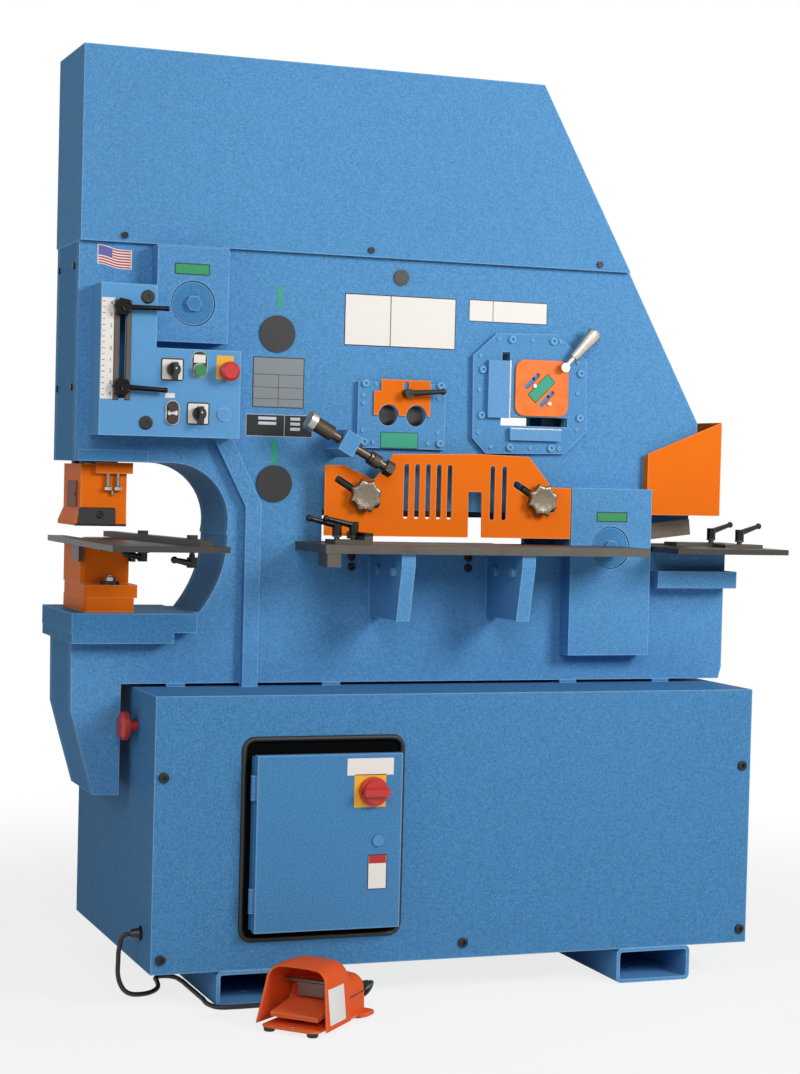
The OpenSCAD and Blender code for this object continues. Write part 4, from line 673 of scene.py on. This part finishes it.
cabinet_black = finishes["black_metal"]
screws("cabinet_screws", on_face(cab_front - 0.002, (-656, 472), (-655, 105), (654, 467), (658, 105),
                                 (-1, 108)), cabinet_black, 0.0105, 0.005)

# ---- Shear plates: painted cap screws in pairs of large and small round each plate, and
# larger ones on the blade blocks.
cap_paint = machine_paint("cap_paint", "6aa9d6", 0.002, 0.00005)
cap_face, dowel_face = shear_face - 0.002, shear_face - 0.0006
screws("angle_plate_screws", on_face(cap_face, (153, 1391), (252, 1391.5), (85, 1323), (84, 1223.5),
                                     (320, 1323), (320, 1224.5), (153, 1155), (252, 1155.5)),
       cap_paint, 0.0085, 0.005, 0.52)
screws("angle_plate_dowels", on_face(dowel_face, (122.5, 1391.4), (202.7, 1390.8), (270.2, 1391.1),
                                     (313, 1347), (314, 1279), (313.7, 1198.6), (80, 1353.4),
                                     (109, 1155), (202.5, 1155), (271.8, 1155.2), (78.7, 1186.2),
                                     (78.4, 1278.7)), cap_paint, 0.0050, 0.0022, 0.62)
screws("bar_plate_screws", on_face(cap_face, (-185.5, 1283), (-13, 1284), (-186, 1158), (-12, 1158.5)),
       cap_paint, 0.0085, 0.005, 0.52)
screws("bar_plate_dowels", on_face(dowel_face, (-160.4, 1282.7), (-38.1, 1281.9), (-189, 1257.9),
                                   (-189, 1240.8), (-16, 1255.8), (-189.5, 1182.3), (-164.5, 1157.3),
                                   (-39.2, 1157.9), (-16.7, 1182.5)), cap_paint, 0.0048, 0.0022, 0.62)
screws("blade_block_screws", on_face(shear_face - 0.006, (115.5, 1320.3), (116, 1245.5),
                                     (176.4, 1186.4), (250.2, 1186.8)), cap_paint, 0.0115, 0.007)

# ---- Control panel: printed scale beside the stops' slot, legend plates and bezels.
label("stroke_scale", -0.765, 1.330, 0.0275, 0.204, panel, white_sheet, None, 0.001, 0.0008)
for mark in range(17):
    z = 1.424 - mark * 0.01175
    label(f"scale_tick_{mark}", -0.7735, z, 0.0045 if mark % 2 else 0.006, 0.0012, panel - 0.0004,
          black_sheet, None, 0.0003, 0.0003)
numerals = bpy.data.curves.new("numerals", "FONT")
numerals.size = 0.0105
numerals.align_x, numerals.align_y = "CENTER", "CENTER"
for mark, digit in enumerate("432101234"):
    numerals.body = digit
    typed = bpy.data.objects.new("typed", numerals)
    bpy.context.collection.objects.link(typed)
    bpy.context.view_layer.update()
    digit_mesh = bpy.data.meshes.new_from_object(typed.evaluated_get(bpy.context.evaluated_depsgraph_get()))
    bpy.data.objects.remove(typed)
    digit_mesh.transform(Matrix.Translation((-0.7585, panel - 0.0007, 1.421 - mark * 0.0228)) @
                         Matrix.Rotation(math.pi / 2, 4, "X"))
    digit_mesh.materials.clear()
    piece(f"scale_numeral_{mark}", digit_mesh, black_sheet)


def bar_with_slopes(name, x0, x1, z0, z1, face, rise, slope, finish):
    """A raised strip with sloping edges."""
    low = [(x0, z0), (x1, z0), (x1, z1), (x0, z1)]
    high = [(x0 + slope, z0 + slope), (x1 - slope, z0 + slope), (x1 - slope, z1 - slope),
            (x0 + slope, z1 - slope)]
    verts = [(x, face, z) for x, z in low] + [(x, face - rise, z) for x, z in high]
    faces = [(0, 1, 5, 4), (1, 2, 6, 5), (2, 3, 7, 6), (3, 0, 4, 7), (4, 5, 6, 7), (3, 2, 1, 0)]
    mesh = bpy.data.meshes.new(name)
    mesh.from_pydata(verts, [], faces)
    return piece(name, mesh, finish)


slot_frame = steel("slot_frame", "5a5148", 0.36, 0.6)
for side, x in (("left", -0.7475), ("right", -0.7225)):
    bar_with_slopes(f"slot_frame_{side}", x - 0.006, x + 0.006, 1.226, 1.428, panel, 0.0025, 0.0018,
                    slot_frame)
screws("panel_screws", on_face(panel - 0.0012, (-684, 1437), (-683, 1182)), cabinet_black, 0.014,
       0.0025, 0.42)
for side, x, z in (("left", -0.629, 1.292), ("right", -0.573, 1.204)):
    label(f"selector_plate_{side}", x - 0.001, z, 0.048, 0.046, panel, white_sheet, black_sheet,
          0.0028, 0.005, lift=0.0011)
label("start_frame", -0.573, 1.304, 0.034, 0.057, panel, black_sheet, bright_plate, 0.0012, 0.0155,
      lift=0.0009)
label("start_legend", -0.573, 1.316, 0.029, 0.021, panel, white_sheet, black_sheet, 0.0022, 0.003,
      lift=0.0011)
label("stop_legend", -0.519, 1.300, 0.036, 0.049, panel, yellow_sheet, None, 0.001, 0.001)
label("jog_legend", -0.634, 1.239, 0.021, 0.010, panel, white_sheet, None, 0.0008, 0.001)
label("jog_bezel", -0.628, 1.204, 0.030, 0.053, panel, black_sheet, bright_plate, 0.0025, 0.0148,
      lift=0.003)
label("jog_lens", -0.628, 1.204, 0.021, 0.013, panel - 0.0028, white_sheet, None, 0.001, 0.006,
      lift=0.0012)
label("start_bezel", -0.573, 1.292, 0.030, 0.030, panel, black_sheet, bright_plate, 0.0028, 0.0148,
      lift=0.003)

# ---- Punching end: the stripper hangs on two threaded studs with hex nuts, has a black
# rubber pad round its lower edge and a brown plastic pane in its side. A washered hex bolt
# holds the die holder down on its foot.
def loft(name, rings, finish, body="base", sharp=35):
    """A skin over closed rings that all have the same number of points, capped at both ends."""
    count = len(rings[0])
    verts = [tuple(p) for ring_of in rings for p in ring_of]
    faces = [(a * count + k, a * count + (k + 1) % count,
              (a + 1) * count + (k + 1) % count, (a + 1) * count + k)
             for a in range(len(rings) - 1) for k in range(count)]
    faces.append(tuple(range(count - 1, -1, -1)))
    faces.append(tuple(range((len(rings) - 1) * count, len(rings) * count)))
    mesh = closed_mesh(name, verts, faces)
    mesh.shade_smooth()
    mesh.set_sharp_from_angle(angle=math.radians(sharp))
    return piece(name, mesh, finish, body)


def turned(name, start, along, profile, finish, body="base", sides=24,
           phase=0):
    """A turned or hexagonal part: (distance, radius) pairs along a line from start."""
    along = Vector(along).normalized()
    side = along.cross(Vector((0.31, 0.52, 0.79))).normalized()
    other = along.cross(side)
    angles = [2 * math.pi * k / sides + phase for k in range(sides)]
    rings = [[Vector(start) + along * d + r * (side * math.cos(a) + other * math.sin(a)) for a in angles]
             for d, r in profile]
    return loft(name, rings, finish, body)


def thread(length, radius, pitch=0.002, depth=0.0008):
    """Profile of a threaded stud."""
    turns = int(length / pitch)
    crests = [(pitch * (k + part), radius - depth * (part == 0)) for k in range(turns)
              for part in (0.0, 0.4, 0.6)]
    return [(0, radius - depth)] + crests[1:] + [(pitch * turns, radius - depth)]


bright_steel = steel("bright_steel", "b9b6ae", 0.26, 0.9)
stripper_low, stripper_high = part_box("stripper")
stripper_front = stripper_low.y + 0.012
up, down = (0, 0, 1), (0, 0, -1)
for side, x in (("left", -0.7305), ("right", -0.7093)):
    top = stripper_high.z - 0.024
    turned(f"stripper_stud_{side}", (x, stripper_front - 0.0065, top), down, thread(0.036, 0.0046),
           bright_steel)
    turned(f"stripper_nut_{side}", (x, stripper_front - 0.0070, top - 0.028), down,
           [(0, 0.0072), (0.001, 0.0085), (0.0075, 0.0085), (0.0085, 0.0072)], bright_steel,
           sides=6)
turned("stripper_screw", (-0.720, stripper_front - 0.0055, stripper_high.z - 0.060), down,
       thread(0.011, 0.0035), bright_steel)
pad_rubber = plastic("pad_rubber", "16110e", 0.42)
pad_face = stripper_front - 0.0035
label("stripper_pad", -0.752, stripper_low.z + 0.0195, 0.078, 0.037, pad_face, pad_rubber, None,
      0.0015, 0.005, lift=0.005)
label("stripper_lip", -0.744, stripper_low.z + 0.002, 0.108, 0.005, pad_face, pad_rubber, None,
      0.0008, 0.001, lift=0.003)
screws("stripper_pad_screw", [(-0.746, pad_face - 0.005, stripper_low.z + 0.0235)],
       finishes["dark_steel"], 0.0075, 0.003)
pane_x, pane_y, pane_z = -0.7862, (-0.084, 0.004), (1.006, 1.060)
pane_rings = []
for out, inset in ((0, 0), (0.0022, 0), (0.003, 0.001)):
    y0, y1, z0, z1 = pane_y[0] + inset, pane_y[1] - inset, pane_z[0] + inset, pane_z[1] - inset
    pane_rings.append([(pane_x - out, y, z) for y, z in ((y0, z0), (y1, z0), (y1, z1), (y0, z1))])
loft("stripper_pane", pane_rings, sheet_print("pane_brown", "6b3423", 0.6))
turned("stripper_pane_screw", (pane_x - 0.003, -0.076, 1.033), (-1, 0, 0),
       [(0, 0.004), (0.0015, 0.004), (0.0022, 0.003)], finishes["black_metal"])
foot_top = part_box("die_holder")[0].z + 0.057
bolt_at = (-0.7285, -0.1505)
turned("holder_washer", (*bolt_at, foot_top - 0.0003), up,
       [(0, 0.0195), (0.0005, 0.020), (0.0032, 0.020), (0.0034, 0.0175), (0.0036, 0.0175),
        (0.0038, 0.0185), (0.0068, 0.0185), (0.0072, 0.018)], finishes["dark_steel"], sides=32)
turned("holder_bolt", (*bolt_at, foot_top + 0.0068), up,
       [(0, 0.0115), (0.0008, 0.0125), (0.0085, 0.0125), (0.0098, 0.0108)], bright_steel, sides=6,
       phase=0.3)
turned("holder_stud", (*bolt_at, foot_top + 0.0165), up, thread(0.005, 0.0058), bright_steel)
table_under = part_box("punch_table")[1].z - 0.016
for mark, (x, y) in enumerate(((-0.770, -0.255), (-0.655, -0.255), (-0.700, -0.335))):
    turned(f"punch_table_bolt_{mark}", (x, y, table_under + 0.0002), down,
           [(0, 0.0075), (0.0004, 0.008), (0.005, 0.008), (0.0058, 0.007)], finishes["dark_steel"],
           sides=6)

# ---- Hold-down screw: a faceted bright knob on its upper end, a threaded shank up to the
# block, and a thick threaded collar beyond it.
hold_at, hold_slope = Vector((-0.337, -0.245, 1.200)), math.radians(-28.7)
hold_way = Vector((math.cos(hold_slope), 0, math.sin(hold_slope)))
hold_knob = [(-0.001, 0.019), (0.0005, 0.0215), (0.0155, 0.0215), (0.017, 0.0195), (0.0175, 0.0145)]
hold_shank = [(0, 0.016), (0.001, 0.0163)] + [
    (0.002 + d, r + 0.0055) for d, r in thread(0.040, 0.0108, 0.003)] + [(0.0425, 0.0158)]
hold_collar = [(0, 0.013), (0.0008, 0.0148), (0.006, 0.0148), (0.0065, 0.0136), (0.0075, 0.0136),
               (0.008, 0.0152)] + [(0.009 + d, r) for d, r in thread(0.018, 0.0152, 0.003)] + [
    (0.0275, 0.0145), (0.028, 0.0125)]
oiled_steel = steel("oiled_steel", "5d5246", 0.28, 0.85, (1, 1, 1), 0.0001, "29221c", 0.5)
turned("hold_down_knob", hold_at, hold_way, hold_knob, bright_steel, "hold_down_screw",
       sides=12)
turned("hold_down_shank", hold_at + 0.0175 * hold_way, hold_way, hold_shank, oiled_steel,
       "hold_down_screw")
turned("hold_down_collar", hold_at + 0.1545 * hold_way, hold_way, hold_collar, oiled_steel,
       "hold_down_screw")

# ---- Stroke stops and selectors: each stop is a hexagonal clamp nut with a round collar and
# a steel rod to the right; a selector's grip reaches down past its base, with a white dot.
stop_metal = steel("stop_metal", "1d1a18", 0.24, 0.8, (1, 1, 1), 0.00005, "0b0a09", 0.4)
for name, droop in (("stop_upper", 0.008), ("stop_lower", -0.045)):
    low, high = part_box(name)
    x, z = low.x + 0.013, (low.z + high.z) / 2
    nut = turned(name + "_nut", (x - 0.002, panel - 0.0026, z), (0, -1, 0),
                 [(0, 0.0185), (0.0012, 0.0195), (0.0125, 0.0195), (0.0145, 0.0175)], stop_metal,
                 name, sides=6, phase=0.2)
    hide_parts(name)
    turned(name + "_collar", (x + 0.004, panel - 0.0168, z), (0, -1, 0),
           [(0, 0.0102), (0.0048, 0.0102), (0.0056, 0.0094), (0.0052, 0.0072), (0.0066, 0.0062),
            (0.0068, 0.003)], stop_metal, name)
    turned(name + "_rod", (x + 0.010, panel - 0.0175, z), (1, 0, droop),
           [(0, 0.0056), (0.074, 0.0049), (0.0752, 0.0055), (0.0795, 0.0055), (0.081, 0.0045)],
           stop_metal, name)
for side in ("left", "right"):
    selector = f"selector_{side}"
    low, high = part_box(selector)
    x, z = (low.x + high.x) / 2, (low.z + high.z) / 2
    grip_rings = []
    for out, half, top, foot in ((0.0105, 0.0056, 0.0150, -0.0235), (0.0262, 0.0050, 0.0142, -0.0226),
                                 (0.0278, 0.0038, 0.0128, -0.0212)):
        grip_rings.append([(x + dx, panel - out, z + dz) for dx, dz in
                           ((-half, top), (half, top), (half, foot), (-half, foot))])
    loft(f"selector_grip_{side}", grip_rings, finishes["black_plastic"], selector, 25)
    label(f"selector_dot_{side}", x + 0.0004, z + 0.002, 0.0036, 0.0036, panel - 0.0277, white_sheet,
          None, 0.0003, 0.0018, body=selector, lift=0.0004)

# ---- Star knobs of the shear guard: eight scalloped lobes with a domed, dished face.
for side in ("left", "right"):
    low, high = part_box(f"guard_knob_{side}")
    centre = (low + high) / 2
    rings = []
    for y, size, scallop in ((high.y - 0.002, 0.55, 0.02), (high.y - 0.010, 0.62, 0.03),
                             (low.y + 0.015, 0.92, 0.1), (low.y + 0.011, 1.0, 0.12),
                             (low.y + 0.004, 1.0, 0.12), (low.y + 0.0012, 0.94, 0.11),
                             (low.y, 0.84, 0.08), (low.y + 0.0012, 0.6, 0.03),
                             (low.y + 0.0018, 0.25, 0)):
        rings.append([])
        for k in range(96):
            angle = 2 * math.pi * k / 96
            reach = 0.0375 * size * (1 - 1.7 * scallop * abs(math.sin(4 * angle)) ** 0.8)
            rings[-1].append((centre.x + reach * math.cos(angle + 0.3), y,
                              centre.z + reach * math.sin(angle + 0.3)))
    knob = loft(f"star_knob_{side}", rings, knob_metal, f"guard_knob_{side}", sharp=50)
    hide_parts(f"guard_knob_{side}")

# ---- Weld beads and bracket bolts: uneven fillets beside the table gussets and under the
# notcher's ledge, painted over, and the bolts that hold the table's rails.
def bead(name, start, end, radius):
    """A painted fillet weld that swells and narrows along its way."""
    run = Vector(end) - Vector(start)
    steps = max(4, int(run.length / 0.004))
    swell = [0.82 + 0.2 * math.sin(k * 1.9) + 0.14 * math.sin(k * 4.3 + 1) for k in range(steps + 1)]
    turned(name, start, run, [(run.length * k / steps, radius * s) for k, s in enumerate(swell)],
           blue_paint, sides=8)


for mark, x in enumerate((-0.160, -0.130, 0.112, 0.142)):
    bead(f"gusset_bead_{mark}", (x, front, 0.7865), (x, front, 0.915), 0.0048)
bead("ledge_bead", (0.505, front - 0.046, 0.8545), (0.652, front - 0.046, 0.8545), 0.0062)
bead("ledge_end_bead", (0.491, front, 0.856), (0.491, front, 0.893), 0.0045)
screws("rail_screws", on_face(front - 0.002, (-203.6, 910.5), (-203.6, 889), (66.8, 911),
                              (66.8, 888.5)), cabinet_black, 0.0085, 0.006)
for mark, x in enumerate((-0.160, 0.112)):
    screws(f"gusset_bolts_{mark}", [(x - 0.003, front - 0.055, 0.886), (x - 0.003, front - 0.150, 0.886)],
           blue_paint, 0.0105, 0.007, turn=(0, -90, 0))

# ---- Foot switch: a cast shield that flares at its open front, a rounded housing behind it
# for the switch, and a base plate on four rubber feet. A blank plate sits on its right side.
pedal_at, pedal_turn = Vector((-0.454, -0.580, 0)), math.radians(-47)
pedal_cos, pedal_sin = math.cos(pedal_turn), math.sin(pedal_turn)
shield_low = 0.012


def at_pedal(x, y, z):
    """A place on the foot switch, whose open front faces its own -Y."""
    return pedal_at + Vector((x * pedal_cos - y * pedal_sin, x * pedal_sin + y * pedal_cos, z))


def arch(low, wide, narrow, high, round_off, steps=9):
    """Outline from the left foot over the top to the right foot, narrower above."""
    left = [(-wide + (wide - narrow) * t, low + (high - round_off - low) * t)
            for t in (0, 0.25, 0.5, 0.75)]
    corner = [(-narrow + round_off - round_off * math.cos(math.pi / 2 * k / steps),
               high - round_off + round_off * math.sin(math.pi / 2 * k / steps)) for k in range(steps + 1)]
    half = left + corner + [(-narrow * 0.35, high + 0.0012)]
    return half + [(-x, z) for x, z in reversed(half)]


def shield_ring(y, wide, narrow, high, round_off, lean):
    """Outline of the shield at y, which leans back by lean at its top."""
    return [at_pedal(x, y + lean * max(0, (z - shield_low) / (high - shield_low)), z)
            for x, z in arch(shield_low, wide, narrow, high, round_off)]


pedal_paint = guard_paint("pedal_shell", "ee6230")
shield_stations = (
    (0.002, 0.0800, 0.0670, 0.126, 0.030, 0.020), (0.012, 0.0795, 0.0675, 0.1275, 0.031, 0.016),
    (0.040, 0.0775, 0.0675, 0.1300, 0.032, 0.009), (0.080, 0.0750, 0.0660, 0.1305, 0.033, 0.004),
    (0.110, 0.0730, 0.0645, 0.1290, 0.034, 0.0), (0.118, 0.0715, 0.0625, 0.1260, 0.034, 0.0),
    (0.1235, 0.0680, 0.0590, 0.1210, 0.032, 0.0), (0.126, 0.0620, 0.0530, 0.1140, 0.028, 0.0))
shell_rings = [shield_ring(*station) for station in shield_stations]
count = len(shell_rings[0])
shell_mesh = bpy.data.meshes.new("pedal_shield")
shell_mesh.from_pydata([tuple(p) for one in shell_rings for p in one], [],
                       [(a * count + k, a * count + k + 1, (a + 1) * count + k + 1, (a + 1) * count + k)
                        for a in range(len(shell_rings) - 1) for k in range(count - 1)] +
                       [tuple(range((len(shell_rings) - 1) * count, len(shell_rings) * count))])
form = bmesh.new()
form.from_mesh(shell_mesh)
bmesh.ops.recalc_face_normals(form, faces=form.faces)
middle = at_pedal(0, 0.06, 0.07)
outward = sum((face.calc_center_median() - middle).dot(face.normal) for face in form.faces)
if outward < 0:
    bmesh.ops.reverse_faces(form, faces=form.faces)
form.to_mesh(shell_mesh)
form.free()
shield = piece("pedal_shield", shell_mesh, pedal_paint, smooth=True)
wall = shield.modifiers.new("wall", "SOLIDIFY")
wall.thickness, wall.offset = 0.0042, -1
lip = shield.modifiers.new("lip", "BEVEL")
lip.width, lip.segments, lip.limit_method, lip.angle_limit = 0.0018, 3, "ANGLE", math.radians(50)
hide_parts("pedal_housing")

rear_rings = []
for y, grow in ((0.110, 1.0), (0.186, 1.0), (0.197, 0.965), (0.203, 0.90), (0.2055, 0.80)):
    outline = arch(shield_low, 0.0610, 0.0595, 0.0890, 0.030)
    rear_rings.append([at_pedal(x * grow, y, shield_low + (z - shield_low) * (0.4 + 0.6 * grow))
                       for x, z in outline])
loft("pedal_rear", rear_rings, pedal_paint, sharp=50)


def slab(name, wide, y0, y1, z0, z1, corner, finish):
    """A flat cast plate of the foot switch with round corners and rounded edges."""
    rings = []
    for inset, z in ((0.0018, z0), (0, z0 + 0.0018), (0, z1 - 0.0022), (0.0006, z1 - 0.0008),
                     (0.0022, z1)):
        outline = ring(wide - 2 * inset, y1 - y0 - 2 * inset, corner, 6)
        rings.append([at_pedal(x, (y0 + y1) / 2 + y, z) for x, y in outline])
    return loft(name, rings, finish)


slab("pedal_base", 0.126, -0.012, 0.205, 0.0085, 0.0138, 0.016, pedal_paint)
slab("pedal_rear_foot", 0.158, 0.158, 0.212, 0.0080, 0.0165, 0.014, pedal_paint)
for mark, (x, y) in enumerate(((-0.048, 0.002), (0.048, 0.002), (-0.048, 0.190), (0.048, 0.190))):
    turned(f"pedal_foot_{mark}", at_pedal(x, y, 0.0003), up,
           [(0, 0.0095), (0.0008, 0.0108), (0.0078, 0.0118), (0.0088, 0.0112)], rubber)
turned("pedal_spring_boss", at_pedal(-0.006, 0.052, 0.0136), up,
       [(0, 0.009), (0.002, 0.009), (0.003, 0.0062), (0.0075, 0.0062), (0.008, 0.005)],
       finishes["dark_steel"])
turned("pedal_base_screw", at_pedal(0.004, 0.003, 0.0136), up,
       [(0, 0.0052), (0.001, 0.0050), (0.0018, 0.003)], bright_steel)


def shield_wall(y, z):
    """Right-hand outside face of the shield."""
    sides = []
    for y0, wide, narrow, high, round_off, lean in shield_stations[:5]:
        rise = (z - shield_low) / (high - shield_low)
        along = min(1, (z - shield_low) / (high - round_off - shield_low))
        sides.append((y0 + lean * rise, wide + (narrow - wide) * along))
    for (ya, xa), (yb, xb) in zip(sides, sides[1:]):
        if y <= yb:
            return xa + (xb - xa) * (y - ya) / (yb - ya)
    return sides[-1][1]


tag_rings = []
for lift, inset in ((0.0002, 0), (0.0009, 0), (0.0011, 0.0006)):
    tag_rings.append([at_pedal(shield_wall(y, z) + lift, y, z) for y, z in
                      ((0.018 + inset, 0.022 + inset), (0.090 - inset, 0.022 + inset),
                       (0.090 - inset, 0.090 - inset), (0.022 + inset, 0.090 - inset))])
loft("pedal_tag", tag_rings, white_sheet)
turned("pedal_rear_seam", at_pedal(0.0612, 0.118, 0.052), at_pedal(0, 1, 0.06) - at_pedal(0, 0, 0),
       [(0, 0.0009), (0.080, 0.0009)], rubber, sides=8)

# ---- Small fittings of the guards: threaded studs that show in the slots of the shear
# guard, pins in the slots of the angle guard, and two socket screws on the notcher's base.
stud_slope = math.radians(149)
stud_way = Vector((math.cos(stud_slope), 0, math.sin(stud_slope)))
for side, x, z, length in (("left", -0.1965, 1.042, 0.042), ("right", 0.2135, 1.040, 0.020)):
    start = Vector((x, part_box("shear_guard")[0].y + 0.002, z)) + stud_way * 0.030
    turned(f"guard_stud_{side}", start, stud_way, thread(length, 0.0078, 0.0032, 0.001),
           finishes["dark_steel"])
screws("notcher_base_screws", on_face(front - 0.0152, (562.4, 924.4), (617.5, 925)), blue_paint,
       0.0115, 0.004, 0.55)
for side, x, z in (("left", 0.208, 1.2915), ("right", 0.244, 1.2535)):
    turned(f"angle_pin_{side}", (x, guard_face + 0.0035, z), (0, -1, 0),
           [(0, 0.0052), (0.0062, 0.0052), (0.007, 0.0044)], bright_steel, "angle_guard")
